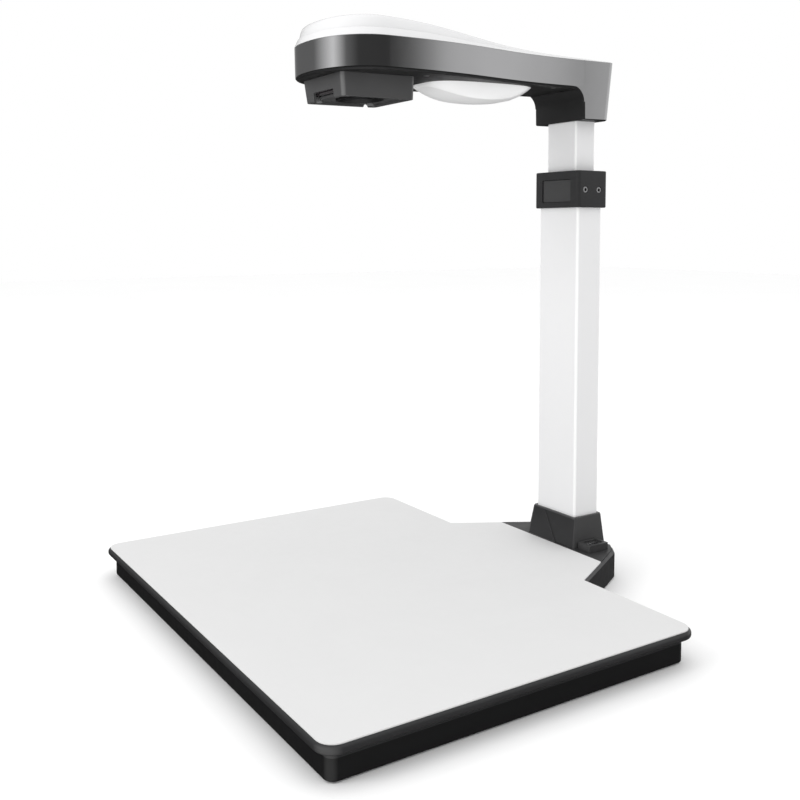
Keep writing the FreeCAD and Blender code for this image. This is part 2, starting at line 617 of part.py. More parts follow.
def release_button():
    face = box(-BUTTON_HALF_X, BUTTON_HALF_X, BUTTON_FACE_Y, FLANGE_Y + 0.5, BUTTON_Z0, BUTTON_Z1)
    rim = [e for e in face.Edges if e.BoundBox.YMax < BUTTON_FACE_Y + 0.01]
    face = face.makeFillet(0.4, rim)
    flange = box(-24.0, 24.0, FLANGE_Y, FLANGE_Y + 1.6, WINDOW_Z0 + 0.4, WINDOW_Z1 - 0.4)
    arm_z0, arm_z1 = COLLAR_BOTTOM + 11, COLLAR_BOTTOM + 20
    parts = [face, flange]
    for s in (-1, 1):
        x0, x1 = sorted((s * 21.2, s * 24.0))
        parts.append(box(x0, x1, FLANGE_Y + 1, BAR_FRONT + 1.9, arm_z0, arm_z1))
    bar = box(-24.0, 24.0, BAR_FRONT, BAR_FRONT + 1.9, arm_z0, arm_z1)
    pocket = box(-10, 10, BAR_FRONT - 1, BAR_FRONT + 1.0, arm_z0 + 1.5, arm_z1 - 1.5)
    parts.append(bar.cut(pocket))
    return fuse_all(parts)


def brake_pad():
    z0, z1 = COLLAR_BOTTOM + 12.5, COLLAR_BOTTOM + 18.5
    return box(-10, 10, BAR_FRONT - 0.42, BAR_FRONT + 1.0, z0, z1)


def coil_spring(x, z, y0, y1, coil_r, wire_r, turns):
    length = y1 - y0 - 2 * wire_r
    helix = Part.makeHelix(length / turns, length, coil_r)
    start = helix.Edges[0].valueAt(helix.Edges[0].FirstParameter)
    tangent = helix.Edges[0].tangentAt(helix.Edges[0].FirstParameter)
    ring = Part.Wire(Part.Circle(start, tangent, wire_r).toShape())
    spring = Part.Wire(helix.Edges).makePipeShell([ring], True, True)
    spring.rotate(Vector(0, 0, 0), Vector(1, 0, 0), -90)
    spring.translate(Vector(x, y0 + wire_r, z))
    return spring


def button_springs():
    y0 = FLANGE_Y + 1.6
    y1 = MAST_Y + COLLAR_Y / 2 - COLLAR_WALL
    return [coil_spring(s * SPRING_X, SPRING_Z, y0 + 0.05, y1 - 0.05, 1.15, 0.25, 12) for s in (-1, 1)]


def collar_screws():
    screws = []
    for y in COLLAR_SCREW_Y:
        for s in (-1, 1):
            seat = s * (COLLAR_X / 2 - 1.6)
            head = Part.makeCylinder(2.9, 1.3, Vector(seat, y, COLLAR_SCREW_Z), Vector(s, 0, 0))
            hole = Part.makeCylinder(1.3, 1.2, Vector(seat + s * 0.3, y, COLLAR_SCREW_Z), Vector(s, 0, 0))
            shank = Part.makeCylinder(1.25, 4.6, Vector(seat + s * 0.1, y, COLLAR_SCREW_Z), Vector(-s, 0, 0))
            screws.append(head.cut(hole).fuse(shank).removeSplitter())
    return screws


# ---- arm ----

FLOOR_TOP = ARM_UNDER + 2.4
NECK_CONCAVE_R = 14.0
LOWER_EDGE_R = 3.2
LOWER_EDGE_STEPS = 3


def neck_wire(inset, z, rear_y):
    """Neck outline: square front corners, rounded rear corners."""
    x = SHAFT_HALF - inset
    front = NECK_FRONT_Y + inset
    rear = rear_y - inset
    r = max(NECK_R - inset, 1.0)
    edges = [Part.makeLine(Vector(-x, front, z), Vector(x, front, z)),
             Part.makeLine(Vector(x, front, z), Vector(x, rear - r, z)),
             arc(Vector(x - r, rear - r, z), r, 0, math.pi / 2),
             Part.makeLine(Vector(x - r, rear, z), Vector(-x + r, rear, z)),
             arc(Vector(-x + r, rear - r, z), r, math.pi / 2, math.pi),
             Part.makeLine(Vector(-x, rear - r, z), Vector(-x, front, z))]
    return Part.Wire(edges)


def neck_rear_at(z):
    part = (z - NECK_BOTTOM) / (ARM_TOP - NECK_BOTTOM)
    return NECK_REAR_BOTTOM_Y + part * (NECK_REAR_TOP_Y - NECK_REAR_BOTTOM_Y)


def lower_edge_steps():
    """Inset and height along the rounded lower edge of the arm, from the underside to the band."""
    steps = []
    for i in range(LOWER_EDGE_STEPS + 1):
        a = math.pi / 2 * i / LOWER_EDGE_STEPS
        z = BAND_BOTTOM - (BAND_BOTTOM - ARM_UNDER) * math.cos(a)
        steps.append((LOWER_EDGE_R * (1 - math.sin(a)), z))
    return steps


def neck_gusset():
    """Concave inside corner between the arm's underside and the neck."""
    r = NECK_CONCAVE_R
    y0, y1 = NECK_FRONT_Y - r, NECK_FRONT_Y + 1
    x = -SHAFT_HALF
    middle = Vector(x, y0 + r * math.sin(math.pi / 4), BAND_BOTTOM - r + r * math.cos(math.pi / 4))
    start, end = Vector(x, y0, BAND_BOTTOM), Vector(x, NECK_FRONT_Y, BAND_BOTTOM - r)
    edges = [Part.Arc(start, middle, end).toShape(),
             Part.makeLine(end, Vector(x, y1, BAND_BOTTOM - r)),
             Part.makeLine(Vector(x, y1, BAND_BOTTOM - r), Vector(x, y1, BAND_BOTTOM + 1)),
             Part.makeLine(Vector(x, y1, BAND_BOTTOM + 1), Vector(x, y0, BAND_BOTTOM + 1)),
             Part.makeLine(Vector(x, y0, BAND_BOTTOM + 1), start)]
    return Part.Face(Part.Wire(edges)).extrude(Vector(2 * SHAFT_HALF, 0, 0))


def arm_solid():
    """Outer form of the arm and neck, as one block."""
    neck = loft([neck_wire(0, NECK_BOTTOM, NECK_REAR_BOTTOM_Y), neck_wire(0, ARM_TOP, NECK_REAR_TOP_Y)])
    pieces = [arm_prism(0, BAND_BOTTOM, ARM_TOP)]
    steps = lower_edge_steps()
    for (low_in, low_z), (high_in, high_z) in zip(steps, steps[1:]):
        low = arm_wire(low_in, low_z, NECK_REAR_TOP_Y)
        high = arm_wire(high_in, high_z, NECK_REAR_TOP_Y)
        pieces.append(loft([low, high]))
    behind = box(-60, 60, NECK_FRONT_Y + 1, NECK_FRONT_Y + 80, ARM_UNDER - 1, ARM_TOP + 1)
    pieces = [piece.cut(behind) for piece in pieces]
    return fuse_all(pieces + [neck, neck_gusset()])


def arm_shell():
    body = arm_solid()
    cavity = arm_prism(ARM_WALL, FLOOR_TOP, ARM_TOP + 1)
    cavity = cavity.cut(box(-60, 60, NECK_FRONT_Y, NECK_FRONT_Y + 80, FLOOR_TOP - 1, ARM_TOP + 2))
    neck_cavity = loft([neck_wire(2.0, NECK_BOTTOM + 3.0, neck_rear_at(NECK_BOTTOM + 3.0)),
                        neck_wire(2.0, ARM_TOP + 1, neck_rear_at(ARM_TOP + 1))])
    inner_half = SHAFT_HALF - ARM_WALL
    link = box(-inner_half, inner_half, NECK_FRONT_Y - 20, NECK_FRONT_Y + 6, FLOOR_TOP, ARM_TOP + 1)
    body = body.cut(cavity).cut(neck_cavity).cut(link)
    body = body.cut(plate(0, LENS_Y, 44, 44, ARM_UNDER - 1, FLOOR_TOP + 1))
    body = body.cut(plate(0, LAMP_Y - 30, 14, 6, ARM_UNDER - 1, FLOOR_TOP + 1))
    bosses = []
    for x, y in COVER_SCREWS:
        post = cylinder(x, y, FLOOR_TOP - 0.5, ARM_TOP - 3.0, 3.6)
        bosses.append(post)
    body = fuse_all([body] + bosses)
    for x, y in COVER_SCREWS:
        body = body.cut(cylinder(x, y, ARM_UNDER - 1, ARM_TOP, 1.6))
        body = body.cut(cylinder(x, y, ARM_UNDER - 1, ARM_UNDER + 2.2, 3.1))
    for x, y in MODULE_SCREWS:
        body = body.cut(cylinder(x, y, ARM_UNDER - 1, FLOOR_TOP + 1, 1.3))
    hole = rounded_prism(0, MAST_Y, UPPER_X + 0.4, UPPER_Y + 0.4, UPPER_R, NECK_BOTTOM - 3, NECK_BOTTOM + 5)
    return tilted(body.removeSplitter()).cut(hole)


FRONT_COVER_SCREWS = [(sx * 39.0, SHEET_Y + 34.0) for sx in (-1, 1)]
REAR_COVER_SCREWS = [(sx * 27.0, SHEET_Y + 182.0) for sx in (-1, 1)]
COVER_SCREWS = FRONT_COVER_SCREWS + REAR_COVER_SCREWS
FRONT_POST_H = 13.0        # height of the cover's screw posts above the band's top edge
REAR_POST_H = 2.5
MODULE_SCREWS = [(sx * 25.0, LENS_Y + sy * 25.0) for sx in (-1, 1) for sy in (-1, 1)]

COVER_EDGE = 6.0           # height of the bevelled ring round the head
CROWN = [(HEAD_FRONT_Y - 8, 15.0), (SHEET_Y - 48, 17.0), (SHEET_Y - 26, 17.7), (SHEET_Y, 17.0),
         (SHEET_Y + 25, 15.0), (SHEET_Y + 50, 12.0), (SHEET_Y + 80, 9.0), (SHEET_Y + 118, 6.3),
         (SHEET_Y + 160, 3.9), (SHEET_Y + 215, 2.3), (NECK_REAR_TOP_Y + 10, 1.6)]


def under_curve(profile, drop, bottom):
    """Block under a smooth lengthwise profile of heights above the band's top edge."""
    points = [Vector(-80, y, ARM_TOP + h - drop) for y, h in profile]
    top = Part.BSplineCurve()
    top.interpolate(Points=points)
    first, last = points[0], points[-1]
    edges = [top.toShape(),
             Part.makeLine(last, Vector(-80, last.y, bottom)),
             Part.makeLine(Vector(-80, last.y, bottom), Vector(-80, first.y, bottom)),
             Part.makeLine(Vector(-80, first.y, bottom), first)]
    return Part.Face(Part.Wire(edges)).extrude(Vector(160, 0, 0))


RING = [(HEAD_FRONT_Y - 8, COVER_EDGE), (SHEET_Y + 5, COVER_EDGE), (SHEET_Y + 35, 5.2), (SHEET_Y + 70, 3.6),
        (SHEET_Y + 130, 2.2), (SHEET_Y + 200, 1.4), (NECK_REAR_TOP_Y + 10, 1.1)]


def cover_form(drop, inset):
    """Outer or inner form of the top cover: bevelled ring with a crowned roof inside it."""
    bottom = ARM_TOP
    ring_low = arm_wire(inset, bottom, NECK_REAR_TOP_Y)
    ring_high = arm_wire(inset + 3.6, bottom + 8.0, NECK_REAR_TOP_Y)
    ring = loft([ring_low, ring_high])
    ring = ring.common(under_curve(RING, drop, bottom - 5))
    roof_low = arm_wire(inset + 3.2, bottom, NECK_REAR_TOP_Y)
    roof_high = arm_wire(inset + 13.0, bottom + 20.0, NECK_REAR_TOP_Y)
    roof = loft([roof_low, roof_high])
    roof = roof.common(under_curve(CROWN, drop, bottom - 5))
    return ring.fuse(roof).removeSplitter()


def top_cover():
    outer = cover_form(0.0, 0.0)
    inner = cover_form(1.8, ARM_WALL)
    body = outer.cut(inner)
    posts = [(x, y, FRONT_POST_H) for x, y in FRONT_COVER_SCREWS]
    posts += [(x, y, REAR_POST_H) for x, y in REAR_COVER_SCREWS]
    for x, y, height in posts:
        post = cylinder(x, y, ARM_TOP - 3.0, ARM_TOP + height, 3.2)
        post = post.cut(cylinder(x, y, ARM_TOP - 4.0, ARM_TOP + 1.5, 1.3))
        body = body.fuse(post)
    return body.removeSplitter()


def cover_screws():
    return [screw(x, y, ARM_UNDER + 0.4, 24.4, r=1.25, head_r=2.8, head_h=1.8, down=False)
            for x, y in COVER_SCREWS]


def arm_spine():
    """Steel channel along the arm, with a tab down the neck."""
    z0 = FLOOR_TOP
    y0, y1 = SHEET_Y + 50.0, MAST_Y - UPPER_Y / 2 - 1.2
    base = box(-22, 22, y0, y1, z0, z0 + 1.5)
    flanges = [box(min(s * 20.5, s * 22), max(s * 20.5, s * 22), y0, y1, z0, z0 + 12) for s in (-1, 1)]
    rear_y = MAST_Y + UPPER_Y / 2 + 0.2
    straps = [box(min(s * 20.5, s * 22), max(s * 20.5, s * 22), y1 - 1, rear_y, z0 + 4, z0 + 12)
              for s in (-1, 1)]
    body = fuse_all([base] + flanges + straps)
    body = body.cut(plate(0, LAMP_Y - 30, 14, 6, z0 - 1, z0 + 3))
    for y in (SHEET_Y + 90, SHEET_Y + 150):
        body = body.cut(cylinder(0, y, z0 - 1, z0 + 3, 6.0))
    return body.removeSplitter()


def mast_clamp():
    z0, z1 = NECK_BOTTOM + 3.2, NECK_BOTTOM + 24.0
    front = NECK_FRONT_Y + 2.2
    rear = NECK_REAR_BOTTOM_Y - 2.4
    body = box(-SHAFT_HALF + 2.3, SHAFT_HALF - 2.3, front, rear, z0, z1)
    rear_edges = [e for e in body.Edges if abs(e.BoundBox.YMin - rear) < 0.01 and e.BoundBox.ZLength > 10]
    body = body.makeFillet(8.2, rear_edges)
    for s in (-1, 1):
        bolt = Part.makeCylinder(1.6, 10, Vector(s * 26, front - 1, z0 + 10), Vector(0, 1, 0))
        body = body.cut(bolt)
    hole = rounded_prism(0, MAST_Y, UPPER_X, UPPER_Y, UPPER_R, z0 - 3, z1 + 3)
    return tilted(body.removeSplitter()).cut(hole)


# ---- camera ----

MODULE_MID_Y = MODULE_Y0 + MODULE_Y / 2
FACE_Z = MODULE_BOTTOM + 2.6
NOTCH_HALF, NOTCH_H = 17.0, 7.4


def camera_housing():
    low = rounded_wire(0, MODULE_MID_Y, MODULE_X, MODULE_Y, 3.5, MODULE_BOTTOM)
    high = rounded_wire(0, MODULE_MID_Y - MODULE_DRAFT_FRONT / 2, MODULE_X + 2 * MODULE_DRAFT_X,
                        MODULE_Y + MODULE_DRAFT_FRONT, 3.5, ARM_UNDER)
    body = loft([low, high])
    wall = 2.2
    hollow = rounded_prism(0, MODULE_MID_Y, MODULE_X - 2 * wall, MODULE_Y - 2 * wall, 1.6,
                           MODULE_BOTTOM - 1, ARM_UNDER - 2.0)
    body = body.cut(hollow)
    body = body.cut(plate(0, LENS_Y, 44, 44, ARM_UNDER - 4, ARM_UNDER + 1))
    body = body.cut(box(-NOTCH_HALF, NOTCH_HALF, MODULE_Y0 - 2, MODULE_Y0 + wall + 1, MODULE_BOTTOM - 1,
                        MODULE_BOTTOM + NOTCH_H))
    nick_y = MODULE_Y0 + MODULE_Y - 10.0
    nick = Part.makeCylinder(2.6, 6, Vector(-MODULE_X / 2 - 3, nick_y, MODULE_BOTTOM), Vector(1, 0, 0))
    body = body.cut(nick)
    posts = [cylinder(x, y, FACE_Z + 2.0, ARM_UNDER - 1, 3.4) for x, y in MODULE_SCREWS]
    body = fuse_all([body] + posts)
    for x, y in MODULE_SCREWS:
        body = body.cut(cylinder(x, y, MODULE_BOTTOM - 1, ARM_UNDER + 1, 1.6))
    return body.removeSplitter()


def camera_face():
    w = MODULE_X - 4.4 - 0.4
    d = MODULE_Y - 4.4 - 0.4
    body = rounded_prism(0, MODULE_MID_Y, w, d, 1.5, FACE_Z, FACE_Z + 2.0)
    body = body.cut(box(-NOTCH_HALF, NOTCH_HALF, MODULE_Y0, MODULE_Y0 + 5.4, FACE_Z - 1, FACE_Z + 3))
    body = body.cut(cylinder(0, LENS_Y, FACE_Z - 1, FACE_Z + 3, 20.3))
    for x, y in MODULE_SCREWS:
        body = body.cut(cylinder(x, y, FACE_Z - 1, FACE_Z + 3, 1.7))
    return body.removeSplitter()


def module_screws():
    return [screw(x, y, FACE_Z - 1.7, 18.5, r=1.25, head_r=2.6, head_h=1.6, down=False)
            for x, y in MODULE_SCREWS]


def notch_window():
    """Dark filter window behind the notch in the housing's front."""
    y0 = MODULE_Y0 + 5.6 - 0.2
    return box(-NOTCH_HALF - 2, NOTCH_HALF + 2, y0 - 3.0, y0 - 1.4, FACE_Z + 2.2, MODULE_BOTTOM + NOTCH_H + 3)


def lens_bezel():
    ring = cylinder(0, LENS_Y, FACE_Z - 1.4, FACE_Z + 5.0, 20.0)
    cone = Part.makeCone(18.6, 14.0, 4.4, Vector(0, LENS_Y, FACE_Z - 1.4))
    ring = ring.cut(cone).cut(cylinder(0, LENS_Y, FACE_Z, FACE_Z + 6, 14.0))
    return ring


def lens_barrel():
    z0, z1 = FACE_Z + 0.6, ARM_UNDER + 3.2
    body = cylinder(0, LENS_Y, z0, z1, 13.2)
    body = body.cut(Part.makeCone(11.8, 9.2, 3.0, Vector(0, LENS_Y, z0)))
    body = body.cut(cylinder(0, LENS_Y, z0 + 2, z1 + 1, 9.2))
    for i in range(3):
        z = z0 + 6.5 + i * 2.2
        groove = cylinder(0, LENS_Y, z, z + 1.0, 15).cut(cylinder(0, LENS_Y, z - 1, z + 2, 12.6))
        body = body.cut(groove)
    return body


def lens_glass():
    z0 = FACE_Z + 4.0
    disc = cylinder(0, LENS_Y, z0, z0 + 3.0, 9.1)
    ball = Part.makeSphere(24.0, Vector(0, LENS_Y, z0 + 24.0 + 0.2))
    return disc.common(ball)


def lens_mount():
    z0 = ARM_UNDER + 3.2
    body = plate(0, LENS_Y, 32, 32, z0, z0 + 6.0)
    return body.cut(cylinder(0, LENS_Y, z0 - 1, z0 + 7, 9.2))


def sensor_board():
    z0 = ARM_UNDER + 9.2
    return plate(0, LENS_Y, 42, 42, z0, z0 + 1.6)


def sensor_chip():
    z0 = ARM_UNDER + 7.4
    return plate(0, LENS_Y, 12, 10, z0, z0 + 1.8)


MAIN_BOARD_Z = FLOOR_TOP + 14.0
STANDOFFS = [(sx * 30, SHEET_Y + y) for sx in (-1, 1) for y in (-26, 16)]


def main_board():
    board = rounded_prism(0, SHEET_Y - 5, 70, 60, 3, MAIN_BOARD_Z, MAIN_BOARD_Z + 1.6)
    for x, y in STANDOFFS:
        board = board.cut(cylinder(x, y, MAIN_BOARD_Z - 1, MAIN_BOARD_Z + 3, 1.6))
    return board


def board_chips():
    z = MAIN_BOARD_Z + 1.6
    return [plate(-8, SHEET_Y - 8, 14, 14, z, z + 1.2), plate(14, SHEET_Y - 8, 10, 12, z, z + 1.0),
            plate(-8, SHEET_Y + 12, 8, 6, z, z + 1.0)]


def board_standoffs():
    posts = []
    for x, y in STANDOFFS:
        post = cylinder(x, y, FLOOR_TOP, MAIN_BOARD_Z, 2.6)
        posts.append(post.fuse(cylinder(x, y, MAIN_BOARD_Z - 0.5, MAIN_BOARD_Z + 2.4, 1.5)).removeSplitter())
    return posts


# ---- lamp ----

LAMP_CORNER = 0.6          # exponent of the oval's full corners


def lamp_wire(half_x, half_y, z):
    """Closed oval with full sides, as one smooth periodic curve."""
    points = []
    count = 24
    for i in range(count):
        a = 2 * math.pi * i / count
        c, s = math.cos(a), math.sin(a)
        x = half_x * math.copysign(abs(c) ** LAMP_CORNER, c)
        y = half_y * math.copysign(abs(s) ** LAMP_CORNER, s)
        points.append(Vector(x, LAMP_Y + y, z))
    curve = Part.BSplineCurve()
    curve.interpolate(Points=points, PeriodicFlag=True)
    return Part.Wire(curve.toShape())


def lamp_form(inset, z_top):
    hx, hy = LAMP_HALF_X - inset, LAMP_HALF_Y - inset
    top = lamp_wire(hx, hy, z_top)
    middle = lamp_wire(hx * 0.84, hy * 0.95, ARM_UNDER - 6.0)
    low = lamp_wire(hx * 0.64, hy * 0.84, ARM_UNDER - 11.6 + inset * 0.5)
    bottom = lamp_wire(hx * 0.32, hy * 0.62, LAMP_BOTTOM + inset)
    return loft([top, middle, low, bottom], ruled=False)


def lamp_diffuser():
    return lamp_form(0.0, ARM_UNDER).cut(lamp_form(1.6, ARM_UNDER + 0.01))


def led_board():
    return rounded_prism(0, LAMP_Y, 36, 72, 4, ARM_UNDER - 1.6, ARM_UNDER)


def led_chips():
    z1 = ARM_UNDER - 1.6
    chips = []
    for i in range(6):
        for x in (-9, 9):
            y = LAMP_Y - 27.5 + 11.0 * i
            chips.append(plate(x, y, 3.5, 2.8, z1 - 0.8, z1))
    return chips


def lamp_reflector():
    """White tray round the light strips, inside the diffuser."""
    z1 = ARM_UNDER
    outer = rounded_prism(0, LAMP_Y, 44, 80, 8, z1 - 4.0, z1)
    inner = rounded_prism(0, LAMP_Y, 37.0, 73.0, 4.4, z1 - 5.0, z1 + 1)
    return outer.cut(inner)


# ---- write every node ----

save("copy_sheet", copy_sheet())
save("table_frame", table_frame())
save("table_base", table_base())
save("table_screws", *[screw(x, y, TABLE_BOTTOM + 0.4, COVE_BOTTOM + 3.5 - TABLE_BOTTOM, r=1.2, down=False)
                       for x, y in TABLE_SCREWS])
save("rubber_feet", *[rubber_foot(x, y) for x, y in FEET])
save("ballast_plates", *ballast_plates())
save("rear_bracket", rear_bracket())
save("bracket_cover", bracket_cover())
save("bracket_feet", *[bracket_foot(x, y) for x, y in BRACKET_FEET])
save("mast_socket", mast_socket())
save("port_block", port_block())
save("usb_port", usb_port())
save("port_board", port_board())
save("lower_mast_tube", lower_mast_tube())
save("mast_foot_plug", mast_foot_plug())
save("mast_foot_screws", *mast_foot_screws())
save("socket_bolts", *socket_bolts())
save("bracket_bolts", *bracket_bolts())
save("guide_bush", guide_bush())
save("collar_housing", collar_housing())
save("collar_screws", *collar_screws())
save("release_button", release_button())
save("brake_pad", brake_pad())
save("button_springs", *button_springs())
save("upper_mast_tube", upper_mast_tube())
save("guide_shoe", guide_shoe())
save("arm_shell", arm_shell())
save_tilted("top_cover", top_cover())
save_tilted("cover_screws", *cover_screws())
save_tilted("arm_spine", arm_spine())
save("mast_clamp", mast_clamp())
save_tilted("camera_housing", camera_housing())
save_tilted("camera_face", camera_face())
save_tilted("module_screws", *module_screws())
save_tilted("notch_window", notch_window())
save_tilted("lens_bezel", lens_bezel())
save_tilted("lens_barrel", lens_barrel())
save_tilted("lens_glass", lens_glass())
save_tilted("lens_mount", lens_mount())
save_tilted("sensor_board", sensor_board())
save_tilted("sensor_chip", sensor_chip())
save_tilted("main_board", main_board())
save_tilted("board_chips", *board_chips())
save_tilted("board_standoffs", *board_standoffs())
save_tilted("led_board", led_board())
save_tilted("led_chips", *led_chips())
save_tilted("lamp_reflector", lamp_reflector())
save_tilted("lamp_diffuser", lamp_diffuser())
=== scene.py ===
import json
import math

import bmesh
import bpy
from mathutils import Matrix, Vector


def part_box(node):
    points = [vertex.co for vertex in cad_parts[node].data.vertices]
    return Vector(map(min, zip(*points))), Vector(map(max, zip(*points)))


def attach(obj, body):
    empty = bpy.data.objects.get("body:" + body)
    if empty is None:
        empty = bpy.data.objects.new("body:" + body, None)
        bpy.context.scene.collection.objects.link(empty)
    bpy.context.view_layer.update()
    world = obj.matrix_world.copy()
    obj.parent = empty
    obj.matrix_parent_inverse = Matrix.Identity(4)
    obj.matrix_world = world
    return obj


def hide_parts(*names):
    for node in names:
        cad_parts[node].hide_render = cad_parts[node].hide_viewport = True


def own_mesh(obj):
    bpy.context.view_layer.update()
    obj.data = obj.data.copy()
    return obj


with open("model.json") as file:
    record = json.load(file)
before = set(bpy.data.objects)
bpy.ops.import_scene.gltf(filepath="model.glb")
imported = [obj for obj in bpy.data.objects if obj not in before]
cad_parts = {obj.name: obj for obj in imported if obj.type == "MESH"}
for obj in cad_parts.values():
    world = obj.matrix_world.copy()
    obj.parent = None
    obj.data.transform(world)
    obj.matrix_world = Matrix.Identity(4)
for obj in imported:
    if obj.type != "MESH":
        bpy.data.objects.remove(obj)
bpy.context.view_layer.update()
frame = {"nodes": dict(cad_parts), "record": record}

MM = 0.001

# ---- places, from the frame, in millimetres ----


def node_box(name):
    low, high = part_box(name)
    return low / MM, high / MM


SHEET_LOW, SHEET_HIGH = node_box("copy_sheet")
FRAME_LOW, FRAME_HIGH = node_box("table_frame")
BASE_LOW, BASE_HIGH = node_box("table_base")
BRACKET_LOW, BRACKET_HIGH = node_box("rear_bracket")
SOCKET_LOW, SOCKET_HIGH = node_box("mast_socket")
PORT_LOW, PORT_HIGH = node_box("port_block")
MAST_LOW, MAST_HIGH = node_box("lower_mast_tube")
TUBE_LOW, TUBE_HIGH = node_box("upper_mast_tube")
COLLAR_LOW, COLLAR_HIGH = node_box("collar_housing")
ARM_LOW, ARM_HIGH = node_box("arm_shell")
FEET_HIGH = node_box("rubber_feet")[1]
SPRING_LOW, SPRING_HIGH = node_box("button_springs")

SHEET_Y = FRAME_LOW.y + 162.2          # centre of the copy surface
TABLE_REAR = SHEET_Y + 160.0
MAST_Y = (TUBE_LOW.y + TUBE_HIGH.y) / 2
DECK = SHEET_LOW.z
HEAD_TILT = math.radians(1.21)
ARM_TOP = ARM_HIGH.z - (ARM_HIGH.y - MAST_Y) * math.sin(HEAD_TILT)


# ---- camera ----

def add_camera():
    """A long lens to the right of the table's front, a little above the middle of the mast."""
    data = bpy.data.cameras.new("camera")
    cam = bpy.data.objects.new("camera", data)
    bpy.context.scene.collection.objects.link(cam)
    cam.location = (0.7087, -0.4681, 0.3301)
    azimuth, pitch = math.radians(57.25), math.radians(3.69)
    cam.rotation_euler = (math.pi / 2 - pitch, 0, azimuth)
    data.sensor_width = 36.0
    data.lens = 43.89
    data.shift_y = -0.1329
    data.clip_start = 0.02
    bpy.context.scene.camera = cam


add_camera()


# ---- mesh helpers ----

def collection_link(obj):
    bpy.context.scene.collection.objects.link(obj)
    return obj


def finish_mesh(name, bm, angle=32.0):
    bmesh.ops.recalc_face_normals(bm, faces=bm.faces)
    mesh = bpy.data.meshes.new(name)
    bm.to_mesh(mesh)
    bm.free()
    mesh.polygons.foreach_set("use_smooth", [True] * len(mesh.polygons))
    mesh.set_sharp_from_angle(angle=math.radians(angle))
    return collection_link(bpy.data.objects.new(name, mesh))


def ring_verts(bm, loops):
    """Vertices for closed loops of points in millimetres."""
    return [[bm.verts.new(Vector(p) * MM) for p in loop] for loop in loops]

def strip(bm, low, high):
    """Faces between two rings of vertices."""
    for i in range(len(low)):
        j = (i + 1) % len(low)
        bm.faces.new((low[i], low[j], high[j], high[i]))

def loft(name, loops):
    """A closed skin through loops that all have the same number of points."""
    bm = bmesh.new()
    rings = ring_verts(bm, loops)
    for low, high in zip(rings, rings[1:]):
        strip(bm, low, high)
    bm.faces.new(list(reversed(rings[0])))
    bm.faces.new(rings[-1])
    return finish_mesh(name, bm)

def prism(name, points_xy, z0, z1):
    """A closed plan outline, extruded upwards."""
    return loft(name, [[(x, y, z) for x, y in points_xy] for z in (z0, z1)])


def block(name, x0, x1, y0, y1, z0, z1):
    return prism(name, [(x0, y0), (x1, y0), (x1, y1), (x0, y1)], z0, z1)


def rod(name, centre, axis, radius, length, count=40):
    """A round bar, as the tool of a cut."""
    along = Vector(axis).normalized()
    side = along.orthogonal().normalized()
    up = along.cross(side)
    loops = []
    for s in (-length / 2, length / 2):
        loops.append([Vector(centre) + along * s + (side * math.cos(a) + up * math.sin(a)) * radius
                      for a in (2 * math.pi * k / count for k in range(count))])
    return loft(name, loops)


def lathe(name, profile, centre, axis=(0, 0, 1), count=64):
    """A closed profile of (radius, height) turned about an axis."""
    along = Vector(axis).normalized()
    side = along.orthogonal().normalized()
    up = along.cross(side)
    bm = bmesh.new()
    rings = []
    for k in range(count):
        a = 2 * math.pi * k / count
        out = side * math.cos(a) + up * math.sin(a)
        rings.append([bm.verts.new((Vector(centre) + along * h + out * r) * MM) for r, h in profile])
    for ring, after in zip(rings, rings[1:] + rings[:1]):
        strip(bm, ring, after)
    return finish_mesh(name, bm)


def turned(obj):
    """Turns a piece built in the arm's own frame about the top of the mast."""
    pivot = Vector((0, MAST_Y, ARM_TOP)) * MM
    turn = Matrix.Translation(pivot) @ Matrix.Rotation(HEAD_TILT, 4, "X") @ Matrix.Translation(-pivot)
    obj.data.transform(turn)
    return obj


def combine(target, tool, operation):
    """Applies an exact boolean of tool to target and removes tool."""
    mod = target.modifiers.new("cut", "BOOLEAN")
    mod.operation = operation
    mod.solver = "EXACT"
    mod.object = tool
    settle(target)
    mesh = tool.data
    bpy.data.objects.remove(tool)
    bpy.data.meshes.remove(mesh)


def apply_modifiers(obj):
    graph = bpy.context.evaluated_depsgraph_get()
    graph.update()
    mesh = bpy.data.meshes.new_from_object(obj.evaluated_get(graph))
    obj.modifiers.clear()
    old = obj.data
    obj.data = mesh
    bpy.data.meshes.remove(old)
    return mesh

def settle(obj, angle=32.0):
    """Applies every modifier and marks the edges that are sharper than the angle."""
    mesh = apply_modifiers(obj)
    mesh.polygons.foreach_set("use_smooth", [True] * len(mesh.polygons))
    mesh.set_sharp_from_angle(angle=math.radians(angle))

def bevel(obj, width, segments=3, limit=30.0, angle=40.0):
    mod = obj.modifiers.new("bevel", "BEVEL")
    mod.width = width * MM
    mod.segments = segments
    mod.limit_method = "ANGLE"
    mod.angle_limit = math.radians(limit)
    mod.harden_normals = False
    settle(obj, angle)


def rounded_loop(cx, cy, wx, wy, r, z, per_corner=8):
    """Rounded rectangle, anticlockwise seen from above."""
    points = []
    for sx, sy, start in ((-1, -1, 180.0), (1, -1, 270.0), (1, 1, 0.0), (-1, 1, 90.0)):
        for k in range(per_corner + 1):
            a = math.radians(start + 90.0 * k / per_corner)
            points.append(Vector((cx + sx * (wx / 2 - r) + r * math.cos(a),
                                  cy + sy * (wy / 2 - r) + r * math.sin(a), z)))
    return points

def even_normals(obj):
    """Shading that follows the large faces, so flat sides stay flat beside rounded edges."""
    mod = obj.modifiers.new("even", "WEIGHTED_NORMAL")
    mod.keep_sharp = True
    mod.weight = 80
    apply_modifiers(obj)

def piece(obj, body, slot, material, *nodes):
    even_normals(obj)
    obj.data.materials.clear()
    obj.data.materials.append(material)
    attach(obj, body)
    if nodes:
        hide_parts(*nodes)
    return obj


# ---- materials ----

